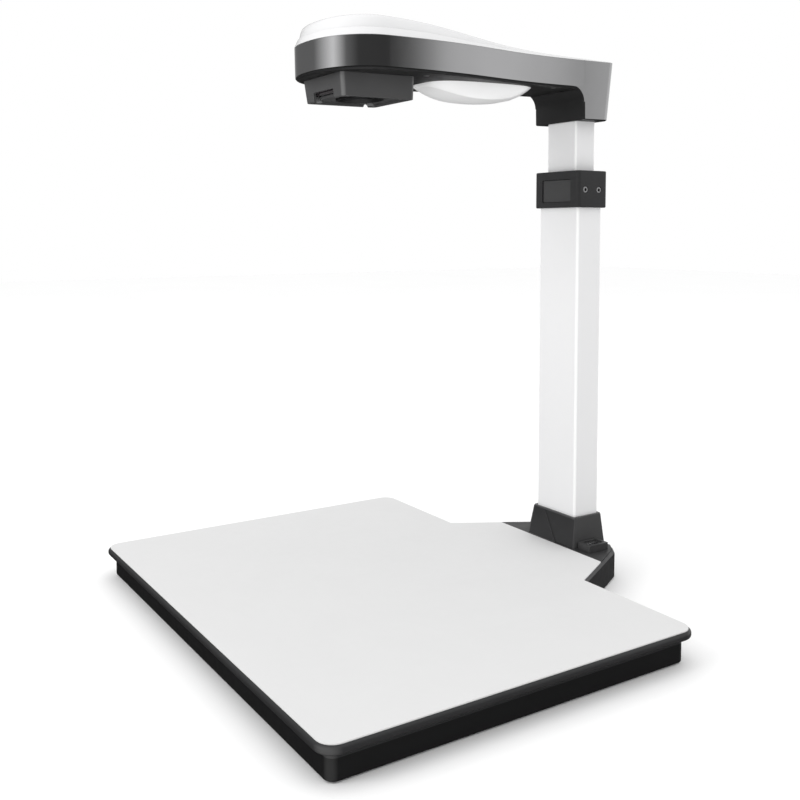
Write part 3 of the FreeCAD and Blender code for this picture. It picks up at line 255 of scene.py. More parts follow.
class Shader:
    """A small builder for one node material."""

    def __init__(self, name):
        self.mat = bpy.data.materials.new(name)
        self.mat.use_nodes = True
        self.tree = self.mat.node_tree
        self.bsdf = self.tree.nodes["Principled BSDF"]
        self.coords = self.tree.nodes.new("ShaderNodeTexCoord")

    def noise(self, size, detail=3.0, stretch=(1, 1, 1)):
        mapping = self.tree.nodes.new("ShaderNodeMapping")
        mapping.inputs["Scale"].default_value = stretch
        self.tree.links.new(self.coords.outputs["Object"], mapping.inputs["Vector"])
        node = self.tree.nodes.new("ShaderNodeTexNoise")
        node.inputs["Scale"].default_value = 1.0 / size
        node.inputs["Detail"].default_value = detail
        self.tree.links.new(mapping.outputs["Vector"], node.inputs["Vector"])
        return node.outputs["Fac"]

    def between(self, fac, low, high, lo_at=0.3, hi_at=0.7):
        node = self.tree.nodes.new("ShaderNodeMapRange")
        node.inputs["From Min"].default_value = lo_at
        node.inputs["From Max"].default_value = hi_at
        node.inputs["To Min"].default_value = low
        node.inputs["To Max"].default_value = high
        self.tree.links.new(fac, node.inputs["Value"])
        return node.outputs["Result"]

    def tint(self, fac, color_a, color_b):
        node = self.tree.nodes.new("ShaderNodeMix")
        node.data_type = "RGBA"
        if isinstance(color_a, bpy.types.NodeSocket):
            self.tree.links.new(color_a, node.inputs["A"])
        else:
            node.inputs["A"].default_value = (*color_a, 1)
        node.inputs["B"].default_value = (*color_b, 1)
        self.tree.links.new(fac, node.inputs["Factor"])
        return node.outputs["Result"]

    def corners(self):
        """1 on upright edges that turn from one side to the next, 0 on flat sides: the mask of the painted edge
        highlight.
        """
        split = self.tree.nodes.new("ShaderNodeSeparateXYZ")
        self.tree.links.new(self.coords.outputs["Normal"], split.inputs[0])
        both = self.tree.nodes.new("ShaderNodeMath")
        both.operation = "MULTIPLY"
        self.tree.links.new(split.outputs["X"], both.inputs[0])
        self.tree.links.new(split.outputs["Y"], both.inputs[1])
        size = self.tree.nodes.new("ShaderNodeMath")
        size.operation = "ABSOLUTE"
        self.tree.links.new(both.outputs[0], size.inputs[0])
        return self.between(size.outputs[0], 0.0, 1.0, 0.06, 0.45)

    def put(self, socket, name):
        self.tree.links.new(socket, self.bsdf.inputs[name])

    def relief(self, fac, depth, strength=1.0, under=None):
        node = self.tree.nodes.new("ShaderNodeBump")
        node.inputs["Distance"].default_value = depth
        node.inputs["Strength"].default_value = strength
        self.tree.links.new(fac, node.inputs["Height"])
        if under is not None:
            self.tree.links.new(under, node.inputs["Normal"])
        return node.outputs["Normal"]

    def soft_edges(self, radius):
        node = self.tree.nodes.new("ShaderNodeBevel")
        node.samples = 6
        node.inputs["Radius"].default_value = radius
        return node.outputs["Normal"]


def moulded(name, color, rough, grain=0.6, depth=0.02, spread=0.12, edge=0.25, metallic=0.0, coat=0.0,
            specular=0.5, stretch=(1, 1, 1), painted_edge_highlight=None):
    """Moulded or coated surface: fine grain relief, uneven gloss, a faint drift of colour and, when given, a
    painted highlight on upright corners. Lengths in mm.
    """
    s = Shader(name)
    s.bsdf.inputs["Metallic"].default_value = metallic
    s.bsdf.inputs["Coat Weight"].default_value = coat
    s.bsdf.inputs["Coat Roughness"].default_value = 0.05
    s.bsdf.inputs["Specular IOR Level"].default_value = specular
    drift = s.between(s.noise(38 * MM, 2.0), 0.0, 1.0)
    darker = [c * (1 - spread) for c in color]
    shade = s.tint(drift, darker, color)
    # painted highlight: upright corners get a lighter colour, standing in for light caught on the rounded edges
    if painted_edge_highlight:
        shade = s.tint(s.corners(), shade, (painted_edge_highlight, painted_edge_highlight, painted_edge_highlight))
    s.put(shade, "Base Color")
    s.put(s.between(s.noise(9 * MM, 4.0, stretch), rough * 0.88, rough * 1.12), "Roughness")
    under = s.soft_edges(edge * MM) if edge else None
    s.put(s.relief(s.noise(grain * MM, 2.0, stretch), depth * MM, 0.5, under), "Normal")
    return s.mat


def glass(name, color, rough):
    s = Shader(name)
    s.put(s.tint(s.noise(5 * MM), color, [c * 1.15 for c in color]), "Base Color")
    s.put(s.between(s.noise(3 * MM), rough, rough * 1.6), "Roughness")
    s.bsdf.inputs["Coat Weight"].default_value = 1.0
    s.bsdf.inputs["Coat Roughness"].default_value = 0.02
    return s.mat


# painted_edge_highlight below is the lighter colour of a painted highlight on upright corners
M = {
    "white_mat": moulded("white_mat", (0.675, 0.675, 0.675), 0.62, grain=0.5, depth=0.006, spread=0.012, edge=0,
                         specular=0.25),
    "dark_frame": moulded("dark_frame", (0.030, 0.030, 0.031), 0.34, grain=0.5, depth=0.010, edge=0,
                          specular=0.30, painted_edge_highlight=0.075),
    "dark_base": moulded("dark_base", (0.013, 0.013, 0.0135), 0.45, grain=0.7, depth=0.014, edge=0,
                         specular=0.20, painted_edge_highlight=0.034),
    "rubber_black": moulded("rubber_black", (0.012, 0.012, 0.012), 0.75, grain=0.4, depth=0.02, specular=0.2),
    "steel_plate": moulded("steel_plate", (0.42, 0.42, 0.43), 0.35, metallic=1.0, stretch=(1, 12, 1)),
    "screw_steel": moulded("screw_steel", (0.34, 0.34, 0.345), 0.40, metallic=0.35, grain=0.3, depth=0.003, edge=0),
    # near-black for the hollow middle of the screw heads: painted shade in the recess
    "screw_hollow_shade": moulded("screw_hollow_shade", (0.008, 0.008, 0.008), 0.5, grain=0.3, depth=0.003, edge=0,
                            specular=0.2),
    "dark_bracket": moulded("dark_bracket", (0.042, 0.042, 0.043), 0.42, grain=0.5, depth=0.008, edge=0.4,
                            specular=0.30),
    "socket": moulded("socket", (0.062, 0.062, 0.063), 0.34, grain=0.5, depth=0.004, edge=0.5, specular=0.35),
    # the front faces of the socket's panel get this darker copy of the socket material: painted shade
    "socket_panel_shade": moulded("socket_panel_shade", (0.022, 0.022, 0.023), 0.34, grain=0.5, depth=0.004, edge=0,
                            specular=0.35),
    "port_dark": moulded("port_dark", (0.052, 0.052, 0.053), 0.40, grain=0.5, depth=0.004, edge=0.4,
                         specular=0.35),
    "arm_matte": moulded("arm_matte", (0.022, 0.022, 0.0225), 0.45, grain=0.6, depth=0.006, edge=0,
                         specular=0.30),
    # the lamp's downward middle: a rougher finish of its own, and a darker grey that is painted shade
    "lamp_window": moulded("lamp_window", (0.74, 0.74, 0.74), 0.38, grain=0.5, depth=0.003, spread=0.01, edge=0,
                           specular=0.35),
    "port_metal": moulded("port_metal", (0.55, 0.55, 0.56), 0.22, metallic=1.0, grain=0.3, depth=0.003),
    "pcb_green": moulded("pcb_green", (0.015, 0.11, 0.045), 0.4, grain=1.2, depth=0.02),
    "mast_white": moulded("mast_white", (0.80, 0.80, 0.805), 0.36, grain=0.9, depth=0.004, spread=0.01, edge=0,
                          specular=0.35, painted_edge_highlight=0.97),
    "plug_plastic": moulded("plug_plastic", (0.07, 0.07, 0.07), 0.5, specular=0.3),
    "collar_dark": moulded("collar_dark", (0.034, 0.034, 0.035), 0.46, grain=0.5, depth=0.008, edge=0,
                           specular=0.35),
    "button_dark": moulded("button_dark", (0.062, 0.062, 0.063), 0.48, grain=0.5, depth=0.008, edge=0.3,
                           specular=0.35),
    "brake_rubber": moulded("brake_rubber", (0.06, 0.04, 0.03), 0.8, specular=0.2),
    "spring_steel": moulded("spring_steel", (0.55, 0.55, 0.56), 0.28, metallic=1.0, edge=0),
    "arm_gloss": moulded("arm_gloss", (0.42, 0.42, 0.425), 0.13, grain=1.4, depth=0.0012, spread=0.03,
                         metallic=1.0, edge=0),
    "cover_white": moulded("cover_white", (0.80, 0.80, 0.805), 0.16, grain=1.6, depth=0.0012, spread=0.01,
                           coat=0.3, edge=0, specular=0.4),
    "module_dark": moulded("module_dark", (0.078, 0.078, 0.079), 0.36, grain=0.5, depth=0.006, edge=0,
                           specular=0.35, painted_edge_highlight=0.16),
    "lens_black": moulded("lens_black", (0.012, 0.012, 0.0125), 0.34, grain=0.3, depth=0.004, edge=0,
                          specular=0.3),
    "lens_glass": glass("lens_glass", (0.006, 0.009, 0.020), 0.03),
    "window_dark": glass("window_dark", (0.012, 0.008, 0.010), 0.06),
    "chip_black": moulded("chip_black", (0.02, 0.02, 0.02), 0.5, specular=0.3),
    "led_yellow": moulded("led_yellow", (0.80, 0.65, 0.22), 0.5, edge=0),
    "lamp_white": moulded("lamp_white", (0.92, 0.92, 0.92), 0.24, grain=1.2, depth=0.0012, spread=0.01, coat=0.25,
                          edge=0, specular=0.4),
    "clamp_alu": moulded("clamp_alu", (0.60, 0.60, 0.61), 0.35, metallic=1.0, stretch=(1, 1, 10)),
}

for entry in frame["record"]["subparts"]:
    node = frame["nodes"][entry["node"]]
    node.data.materials.clear()
    node.data.materials.append(M[entry["material_slot"]])


def repaint(obj, material, chosen):
    """Gives a second material to the faces that a test of place (mm) and normal picks out."""
    obj.data.materials.append(material)
    for face in obj.data.polygons:
        if chosen(face.center / MM, face.normal):
            face.material_index = len(obj.data.materials) - 1


# ---- table ----

LIP_ROUND = 2.75
LIP_BOTTOM, COVE_BOTTOM = FRAME_LOW.z + 4.5, FRAME_LOW.z
SHEET_W, SHEET_D, SHEET_R = 440.0, 320.0, 12.0
WALL_IN, WALL_T = 5.0, 2.4
PAD_WIDE, PAD_NARROW, PAD_DEPTH = 98.5, 72.2, 46.0   # rear tongue: half widths and depth
FOOT_X, FOOT_Y = 196.0, 148.0
BASE_SCREW_X, BASE_SCREW_Y, BASE_SCREW_SEAT = 190, 132, 3.2


def table_loop(inset, z, per_corner=12):
    return rounded_loop(0, SHEET_Y, SHEET_W - 2 * inset, SHEET_D - 2 * inset, max(SHEET_R - inset, 0.6), z,
                        per_corner)


def pad_half_at(y):
    return PAD_WIDE - (PAD_WIDE - PAD_NARROW) / PAD_DEPTH * (y - TABLE_REAR)


def rounded_polygon(corners, steps=6):
    """Plan outline with a radius at each corner: (x, y, r)."""
    points = []
    count = len(corners)
    for i, (x, y, r) in enumerate(corners):
        here = Vector((x, y))
        back = (Vector(corners[i - 1][:2]) - here).normalized()
        ahead = (Vector(corners[(i + 1) % count][:2]) - here).normalized()
        half = back.angle(ahead) / 2
        reach = r / math.tan(half)
        start, end = here + back * reach, here + ahead * reach
        centre = here + (back + ahead).normalized() * (r / math.sin(half))
        a0 = math.atan2(start.y - centre.y, start.x - centre.x)
        a1 = math.atan2(end.y - centre.y, end.x - centre.x)
        sweep = (a1 - a0 + math.pi) % (2 * math.pi) - math.pi
        for k in range(steps + 1):
            a = a0 + sweep * k / steps
            points.append((centre.x + r * math.cos(a), centre.y + r * math.sin(a)))
    return points


def sheet_outline(inset):
    x, front, rear, tongue = SHEET_W / 2 - inset, SHEET_LOW.y + inset, TABLE_REAR - inset, SHEET_HIGH.y - inset
    r = SHEET_R - inset
    return rounded_polygon([(-x, front, r), (x, front, r), (x, rear, r), (PAD_WIDE - inset, rear, 1.5),
                            (PAD_NARROW - inset, tongue, 1.5), (-PAD_NARROW + inset, tongue, 1.5),
                            (-PAD_WIDE + inset, rear, 1.5), (-x, rear, r)], 10)


def make_copy_sheet():
    levels = ((0.0, DECK), (0.0, SHEET_HIGH.z - 0.35), (0.1, SHEET_HIGH.z - 0.1), (0.35, SHEET_HIGH.z))
    obj = loft("copy_surface", [[(x, y, z) for x, y in sheet_outline(inset)] for inset, z in levels])
    piece(obj, "base", "white_mat", M["white_mat"], "copy_sheet")


def make_table_frame():
    levels = [(WALL_IN + WALL_T, DECK - 1.8), (WALL_IN + WALL_T, COVE_BOTTOM), (WALL_IN, COVE_BOTTOM)]
    for k in range(9):
        a = math.pi / 2 * (1 - k / 8)
        levels.append((0.5 + 4.5 * math.sin(a), LIP_BOTTOM - 4.5 * (1 - math.cos(a))))
    middle = -2.2 + LIP_ROUND
    for z_mid, start in ((LIP_BOTTOM + LIP_ROUND, -90), (DECK - LIP_ROUND, 0)):
        for k in range(1 if start < 0 else 0, 9):
            a = math.radians(start + 90 * k / 8)
            levels.append((middle - LIP_ROUND * math.cos(a), z_mid + LIP_ROUND * math.sin(a)))
    obj = loft("table_frame_skin", [table_loop(inset, z) for inset, z in levels])
    slot = prism("slot", [(x * 1.004, y) for x, y in bracket_outline(0.0)], COVE_BOTTOM - 1, DECK + 1)
    combine(obj, slot, "DIFFERENCE")
    piece(obj, "base", "dark_frame", M["dark_frame"], "table_frame")


def make_table_base():
    low, top = BASE_LOW.z, COVE_BOTTOM
    levels = [(WALL_IN + 1.0, low), (WALL_IN + 0.3, low + 0.3), (WALL_IN, low + 1.0), (WALL_IN, top),
              (WALL_IN + WALL_T, top), (WALL_IN + WALL_T, low + 2.2)]
    obj = loft("table_base_skin", [table_loop(inset, z) for inset, z in levels])
    groove_y = SHEET_LOW.y + WALL_IN
    groove = prism("groove", [(33.3, groove_y - 1), (112.7, groove_y - 1), (111.6, groove_y + 1.4),
                              (34.4, groove_y + 1.4)], 13.9, 15.3)
    combine(obj, groove, "DIFFERENCE")
    for sx in (-1, 0, 1):
        for sy in (-1, 1):
            seat = rod("seat", (sx * BASE_SCREW_X, SHEET_Y + sy * BASE_SCREW_Y, low), (0, 0, 1),
                       BASE_SCREW_SEAT, 4.0)
            combine(obj, seat, "DIFFERENCE")
    piece(obj, "base", "dark_base", M["dark_base"], "table_base")


def make_feet():
    """Low pads with rounded rims under the table's corners and the middle of its front."""
    top = FEET_HIGH.z
    profile = [(0.0001, 0.0), (4.4, 0.0), (5.0, 0.15), (5.35, 0.5), (5.4, 0.9), (5.4, top), (0.0001, top)]
    for k, (sx, sy) in enumerate(((-1, -1), (1, -1), (1, 1), (-1, 1), (0, -1))):
        obj = lathe("table_foot_%d" % (k + 1), profile, (sx * FOOT_X, SHEET_Y + sy * FOOT_Y, 0), count=48)
        piece(obj, "base", "rubber_black", M["rubber_black"], *(("rubber_feet",) if k == 0 else ()))


# ---- bracket, socket and port ----

def bracket_outline(inset):
    front = TABLE_REAR - WALL_IN
    cut_y, rear = SHEET_Y + 241.5, BRACKET_HIGH.y - inset
    half_front = pad_half_at(front) + 2.3 - inset
    half_cut = pad_half_at(cut_y) + 2.3 - inset
    return [(-half_front, front), (half_front, front), (half_cut, cut_y - inset * 0.5),
            (43.0 - inset * 0.5, rear), (-43.0 + inset * 0.5, rear), (-half_cut, cut_y - inset * 0.5)]


def make_rear_bracket():
    low = BRACKET_LOW.z
    levels = [(0.6, low), (0.0, low + 0.6), (0.0, DECK - 2.6), (2.2, DECK)]
    obj = loft("rear_bracket_skin", [[(x, y, z) for x, y in bracket_outline(inset)] for inset, z in levels])
    edge = bracket_outline(2.2)
    half = pad_half_at(SHEET_HIGH.y) + 0.1
    step = prism("step", [(-half, SHEET_HIGH.y + 0.1), (half, SHEET_HIGH.y + 0.1)] + edge[2:6], DECK - 0.5,
                 SHEET_HIGH.z)
    combine(obj, step, "UNION")
    hollow = prism("hollow", bracket_outline(3.4), low - 1, low + 0.4)
    combine(obj, hollow, "DIFFERENCE")
    piece(obj, "base", "dark_bracket", M["dark_bracket"], "rear_bracket")


def make_mast_socket():
    low, top = SOCKET_LOW.z, SOCKET_HIGH.z
    mid = MAST_Y - 0.2
    levels = []
    for t, extra in ((0.0, 0.0), (0.03, 0.0), (0.96, 0.0), (1.0, -0.8)):
        wx, wy = 67.0 + (60.0 - 67.0) * t + extra, 43.4 + (35.6 - 43.4) * t + extra
        levels.append(rounded_loop(0, mid - 1.2 * (1 - t), wx, wy, 4.0 - t, low + (top - low) * t, 8))
    obj = loft("mast_socket_skin", levels)
    levels = []
    for z, x in ((low - 1, 9.2), (top - 1.6, -12.5)):
        t = (z - low) / (top - low)
        face = mid - 1.2 * (1 - t) - (43.4 + (35.6 - 43.4) * t) / 2 + 0.9
        levels.append([(x, face - 30, z), (60, face - 30, z), (60, face, z), (x, face, z)])
    combine(obj, loft("panel", levels), "DIFFERENCE")
    bore = loft("bore", [rounded_loop(0, MAST_Y, 54.5, 31.1, 2.6, z) for z in (low + 4.0, top + 2)])
    combine(obj, bore, "DIFFERENCE")
    for x in (-12.0, 12.0):
        combine(obj, rod("seat", (x, MAST_Y + 21.0, 42.0), (0, 1, 0), 3.2, 6.0), "DIFFERENCE")
    piece(obj, "base", "dark_bracket", M["socket"], "mast_socket")
    # The panel's front faces get the darker copy of the socket material: painted shade.
    repaint(obj, M["socket_panel_shade"], lambda at, normal: normal.y < -0.8 and at.x > -5 and at.z < top - 3.0)


def make_port_block():
    x0, x1, y0, y1 = PORT_LOW.x, PORT_HIGH.x, PORT_LOW.y, PORT_HIGH.y
    low, top = PORT_LOW.z, PORT_HIGH.z
    mx, my = (x0 + x1) / 2, (y0 + y1) / 2
    obj = block("port_block_skin", x0, x1, y0, y1, low, top)
    combine(obj, block("a", mx - 5.25, mx + 5.25, my - 8.5, my + 8.5, top - 1.6, top + 1), "DIFFERENCE")
    combine(obj, block("b", mx - 3.5, mx + 3.5, my - 7.0, my + 7.0, low + 0.2, top + 1), "DIFFERENCE")
    piece(obj, "base", "dark_bracket", M["port_dark"], "port_block")


# ---- mast ----

SPRING_TURNS, WIRE = 12, 0.25
WINDOW = (3.4, 29.0)                   # opening in the mast behind the button, above the collar's foot


def tube(name, wx, wy, r, wall, z0, z1):
    outer = [(0.3, z0), (0.0, z0 + 0.3), (0.0, z1 - 0.3), (0.3, z1)]
    levels = [rounded_loop(0, MAST_Y, wx - 2 * i, wy - 2 * i, r - i, z, 10) for i, z in outer]
    levels += [rounded_loop(0, MAST_Y, wx - 2 * wall, wy - 2 * wall, max(r - wall, 0.4), z, 10)
               for z in (z1, z0)]
    bm = bmesh.new()
    rings = ring_verts(bm, levels)
    for low, high in zip(rings, rings[1:] + rings[:1]):
        strip(bm, low, high)
    return finish_mesh(name, bm)


def make_mast():
    lower = tube("lower_mast_skin", 54.0, 30.6, 2.5, 2.0, MAST_LOW.z, MAST_HIGH.z)
    low = COLLAR_LOW.z
    window = block("window", -24.4, 24.4, MAST_Y - 17.3, MAST_Y + 17.3, low + WINDOW[0], low + WINDOW[1])
    combine(lower, window, "DIFFERENCE")
    piece(lower, "base", "mast_white", M["mast_white"], "lower_mast_tube")
    upper = tube("upper_mast_skin", 40.0, 24.5, 2.0, 1.8, TUBE_LOW.z, TUBE_HIGH.z)
    piece(upper, "head", "mast_white", M["mast_white"], "upper_mast_tube")


def make_collar():
    low, top = COLLAR_LOW.z, COLLAR_HIGH.z
    front = COLLAR_LOW.y
    levels = [rounded_loop(0, MAST_Y, 62.0 - 2 * i, 37.0 - 2 * i, 3.5 - i, z, 10)
              for i, z in ((1.0, low), (0.3, low + 0.3), (0.0, low + 1.0), (0.0, top - 1.0), (0.3, top - 0.3),
                           (1.0, top))]
    obj = loft("collar_skin", levels)
    bore = loft("bore", [rounded_loop(0, MAST_Y, 54.3, 30.9, 2.5, z) for z in (low - 1, MAST_HIGH.z + 0.5)])
    combine(obj, bore, "DIFFERENCE")
    way = loft("way", [rounded_loop(0, MAST_Y, 40.6, 25.1, 2.0, z) for z in (MAST_HIGH.z, top + 1)])
    combine(obj, way, "DIFFERENCE")
    pocket = [[(x, y, z) for x, z in rounded_polygon([(-19.9, low + 5.0, 1.2), (19.9, low + 5.0, 1.2),
                                                      (19.9, low + 26.8, 1.2), (-19.9, low + 26.8, 1.2)])]
              for y in (front - 1, front + 3.2)]
    combine(obj, loft("pocket", pocket), "DIFFERENCE")
    chamber = block("chamber", -24.7, 24.7, MAST_Y - 16.7, MAST_Y + 16.7, low + WINDOW[0], low + WINDOW[1])
    combine(obj, chamber, "DIFFERENCE")
    for y in (MAST_Y - 9.5, MAST_Y + 7.5):
        for s in (-1, 1):
            combine(obj, rod("seat", (s * 31.0, y, low + 16.6), (1, 0, 0), 3.1, 3.2), "DIFFERENCE")
    bevel(obj, 0.3, 2, limit=50)
    piece(obj, "base", "collar_dark", M["collar_dark"], "collar_housing")


def make_collar_screws():
    """Dished round heads with a hollow middle, seated in both sides of the collar."""
    low = COLLAR_LOW.z
    profile = [(0.0001, 1.0), (1.25, 1.0), (1.3, 0.15), (1.5, 0.0), (2.5, 0.05), (2.85, 0.35), (2.9, 0.8),
               (2.9, 1.7), (0.0001, 1.7)]
    for side, s in (("left", -1), ("right", 1)):
        for k, y in enumerate((MAST_Y - 9.5, MAST_Y + 7.5)):
            obj = lathe("collar_screw_%s_%d" % (side, k + 1), profile, (s * 30.9, y, low + 16.6), (-s, 0, 0), 48)
            names = ("collar_screws",) if (side, k) == ("left", 0) else ()
            piece(obj, "base", "screw_steel", M["screw_steel"], *names)
            # The hollow middle of each head is painted near-black: painted shade in the recess.
            repaint(obj, M["screw_hollow_shade"], lambda at, normal: math.hypot(at.y - y, at.z - low - 16.6) < 1.45)


def make_button_springs():
    """Two small wire coils behind the release button; built at one fixed length, they do not shorten as it is
    pressed.
    """
    y0, y1, z = SPRING_LOW.y + WIRE, SPRING_HIGH.y - WIRE, (SPRING_LOW.z + SPRING_HIGH.z) / 2
    coil = (SPRING_HIGH.z - SPRING_LOW.z) / 2 - WIRE
    for side, s in (("left", -1), ("right", 1)):
        x = s * (SPRING_HIGH.x - coil - WIRE)
        loops = []
        for k in range(SPRING_TURNS * 24 + 1):
            a = 2 * math.pi * k / 24
            out = Vector((math.cos(a), 0, math.sin(a)))
            centre = Vector((x, y0 + (y1 - y0) * k / (SPRING_TURNS * 24), z)) + out * coil
            loops.append([centre + (out * math.cos(b) + Vector((0, 1, 0)) * math.sin(b)) * WIRE
                          for b in (2 * math.pi * j / 10 for j in range(10))])
        obj = loft("button_spring_" + side, loops)
        piece(obj, "base", "spring_steel", M["spring_steel"], *(("button_springs",) if s < 0 else ()))
        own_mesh(obj)


# ---- arm, built in its own frame and then turned ----

BAND_BOTTOM, ARM_UNDER, FLOOR_TOP = ARM_TOP - 23.8, ARM_TOP - 26.5, ARM_TOP - 24.1
HEAD_HALF, HEAD_WIDE, HEAD_FRONT, HEAD_POWER = ARM_HIGH.x, SHEET_Y - 11.2, SHEET_Y - 56.9, 2.2
SHAFT_HALF, TAPER_END, REAR_TOP, REAR_LOW = 34.4, SHEET_Y + 212.0, SHEET_Y + 254.2, SHEET_Y + 246.4
NECK_FRONT, NECK_BOTTOM, NECK_R, CONCAVE_R = SHEET_Y + 213.4, ARM_TOP - 54.1, 8.0, 14.0
LENS_Y = SHEET_Y - 7.0


def arm_half(inset):
    """Right half of the arm's plan outline, from the nose to the middle of the rear."""
    half, shaft, front, rear = HEAD_HALF - inset, SHAFT_HALF - inset, HEAD_FRONT + inset, REAR_TOP - inset
    points = []
    for k in range(29):
        a = math.pi / 2 * k / 28
        points.append((half * math.sin(a) ** (2 / HEAD_POWER),
                       HEAD_WIDE - (HEAD_WIDE - front) * math.cos(a) ** (2 / HEAD_POWER)))
    reach = (TAPER_END - HEAD_WIDE) / 2
    for k in range(1, 41):
        t = k / 40
        s = 1 - t
        points.append(((s ** 3 + 3 * s * s * t) * half + (3 * s * t * t + t ** 3) * shaft,
                       s ** 3 * HEAD_WIDE + 3 * s * s * t * (HEAD_WIDE + reach)
                       + 3 * s * t * t * (TAPER_END - reach) + t ** 3 * TAPER_END))
    r = max(NECK_R - inset, 1.0)
    for k in range(9):
        a = math.pi / 2 * k / 8
        points.append((shaft - r + r * math.cos(a), rear - r + r * math.sin(a)))
    points.append((0.0, rear))
    return points


def arm_loop(inset, z):
    half = arm_half(inset)
    return [(x, y, z) for x, y in half] + [(-x, y, z) for x, y in reversed(half[1:-1])]


def neck_loop(inset, z, rear):
    """Nearly square front corners and rounded rear corners."""
    x = SHAFT_HALF - inset
    return [(px, py, z) for px, py in rounded_polygon(
        [(-x, NECK_FRONT + inset, 1.2), (x, NECK_FRONT + inset, 1.2), (x, rear - inset, NECK_R),
         (-x, rear - inset, NECK_R)], 8)]


def make_arm_shell():
    levels = []
    for k in range(9):
        a = math.pi / 2 * k / 8
        levels.append((3.2 * (1 - math.sin(a)), BAND_BOTTOM - (BAND_BOTTOM - ARM_UNDER) * math.cos(a)))
    levels += [(0.0, ARM_TOP - 0.5), (0.12, ARM_TOP - 0.15), (0.45, ARM_TOP - 0.02), (2.2, ARM_TOP),
               (2.2, FLOOR_TOP)]
    obj = loft("arm_skin", [arm_loop(inset, z) for inset, z in levels])
    low_neck = block("trim", -60, 60, NECK_FRONT + 1, NECK_FRONT + 80, ARM_UNDER - 5, ARM_TOP + 3)
    combine(obj, low_neck, "DIFFERENCE")
    neck = loft("neck", [neck_loop(0.9, NECK_BOTTOM, REAR_LOW), neck_loop(0.25, NECK_BOTTOM + 0.3, REAR_LOW),
                         neck_loop(0, NECK_BOTTOM + 1.0, REAR_LOW + 0.1), neck_loop(0, ARM_TOP, REAR_TOP)])
    combine(obj, neck, "UNION")
    x, y0 = SHAFT_HALF, NECK_FRONT - CONCAVE_R
    curve = [(y0 + CONCAVE_R * math.sin(a), BAND_BOTTOM - CONCAVE_R + CONCAVE_R * math.cos(a))
             for a in (math.pi / 2 * k / 14 for k in range(15))]
    side = curve + [(NECK_FRONT + 3, BAND_BOTTOM - CONCAVE_R), (NECK_FRONT + 3, BAND_BOTTOM + 2),
                    (y0, BAND_BOTTOM + 2)]
    gusset = loft("gusset", [[(s * x, y, z) for y, z in side] for s in (-1, 1)])
    combine(obj, gusset, "UNION")
    hole = loft("hole", [rounded_loop(0, MAST_Y, 40.4, 24.9, 2.0, z) for z in (NECK_BOTTOM - 4, NECK_BOTTOM + 20)])
    turned(obj)
    combine(obj, hole, "DIFFERENCE")
    for sx, half_x, y in ((-1, 39.0, 34.0), (1, 39.0, 34.0), (-1, 27.0, 182.0), (1, 27.0, 182.0)):
        seat = turned(rod("seat", (sx * half_x, SHEET_Y + y, ARM_UNDER), (0, 0, 1), 3.1, 3.4))
        combine(obj, seat, "DIFFERENCE")
    piece(obj, "head", "arm_gloss", M["arm_gloss"], "arm_shell")
    inner_neck = NECK_FRONT + 3.0
    repaint(obj, M["arm_matte"], lambda at, normal: normal.z < -0.5 or (
        normal.y < -0.5 and at.z < BAND_BOTTOM and at.y < inner_neck and at.y > SHEET_Y + 190.0))


def smooth_table(table, y):
    """Height read from a table of (y, height) with eased steps."""
    if y <= table[0][0]:
        return table[0][1]
    for (y0, h0), (y1, h1), before, after in zip(table, table[1:], [table[0]] + table, table[2:] + [table[-1]]):
        if y <= y1:
            t = (y - y0) / (y1 - y0)
            m0 = (h1 - before[1]) / max(y1 - before[0], 1) * (y1 - y0)
            m1 = (after[1] - h0) / max(after[0] - y0, 1) * (y1 - y0)
            return ((2 * t ** 3 - 3 * t * t + 1) * h0 + (t ** 3 - 2 * t * t + t) * m0
                    + (-2 * t ** 3 + 3 * t * t) * h1 + (t ** 3 - t * t) * m1)
    return table[-1][1]


CROWN = [(SHEET_Y + y, h) for y, h in ((-57, 17.0), (-45, 17.4), (-26, 17.6), (0, 17.0), (25, 15.6), (50, 13.2),
                                      (80, 10.0), (118, 6.9), (160, 4.6), (215, 3.0), (256, 1.7))]
RING = [(SHEET_Y + y, h) for y, h in ((-57, 6.0), (5, 6.0), (35, 5.2), (70, 3.6), (130, 2.2), (200, 1.4),
                                     (256, 1.1))]
RING_SHAPE = ((0.0, 0.0), (0.12, 0.12), (0.6, 0.30), (1.3, 0.58), (2.1, 0.88), (2.5, 0.98), (2.9, 1.0),
              (3.5, 0.99))
ROOF_SHAPE = ((3.9, 0.03), (4.2, 0.18), (4.7, 0.40), (5.5, 0.62), (6.6, 0.79), (8.0, 0.89), (10.0, 0.95),
              (12.8, 0.98), (15.6, 0.992), (18.5, 1.0))


def cover_loops(thin, drop):
    """Rows of the cover's right half, from its lower edge up over the ring and the crown."""
    rows = []
    for inset, share in RING_SHAPE:
        rows.append([(x, y, ARM_TOP + max(smooth_table(RING, y) * share - drop, 0.0))
                     for x, y in arm_half(inset + thin)])
    for inset, share in ROOF_SHAPE:
        row = []
        for x, y in arm_half(inset + thin):
            ring, crown = smooth_table(RING, y), smooth_table(CROWN, y)
            row.append((x, y, ARM_TOP + max(ring + (crown - ring) * share - drop, 0.0)))
        rows.append(row)
    return rows


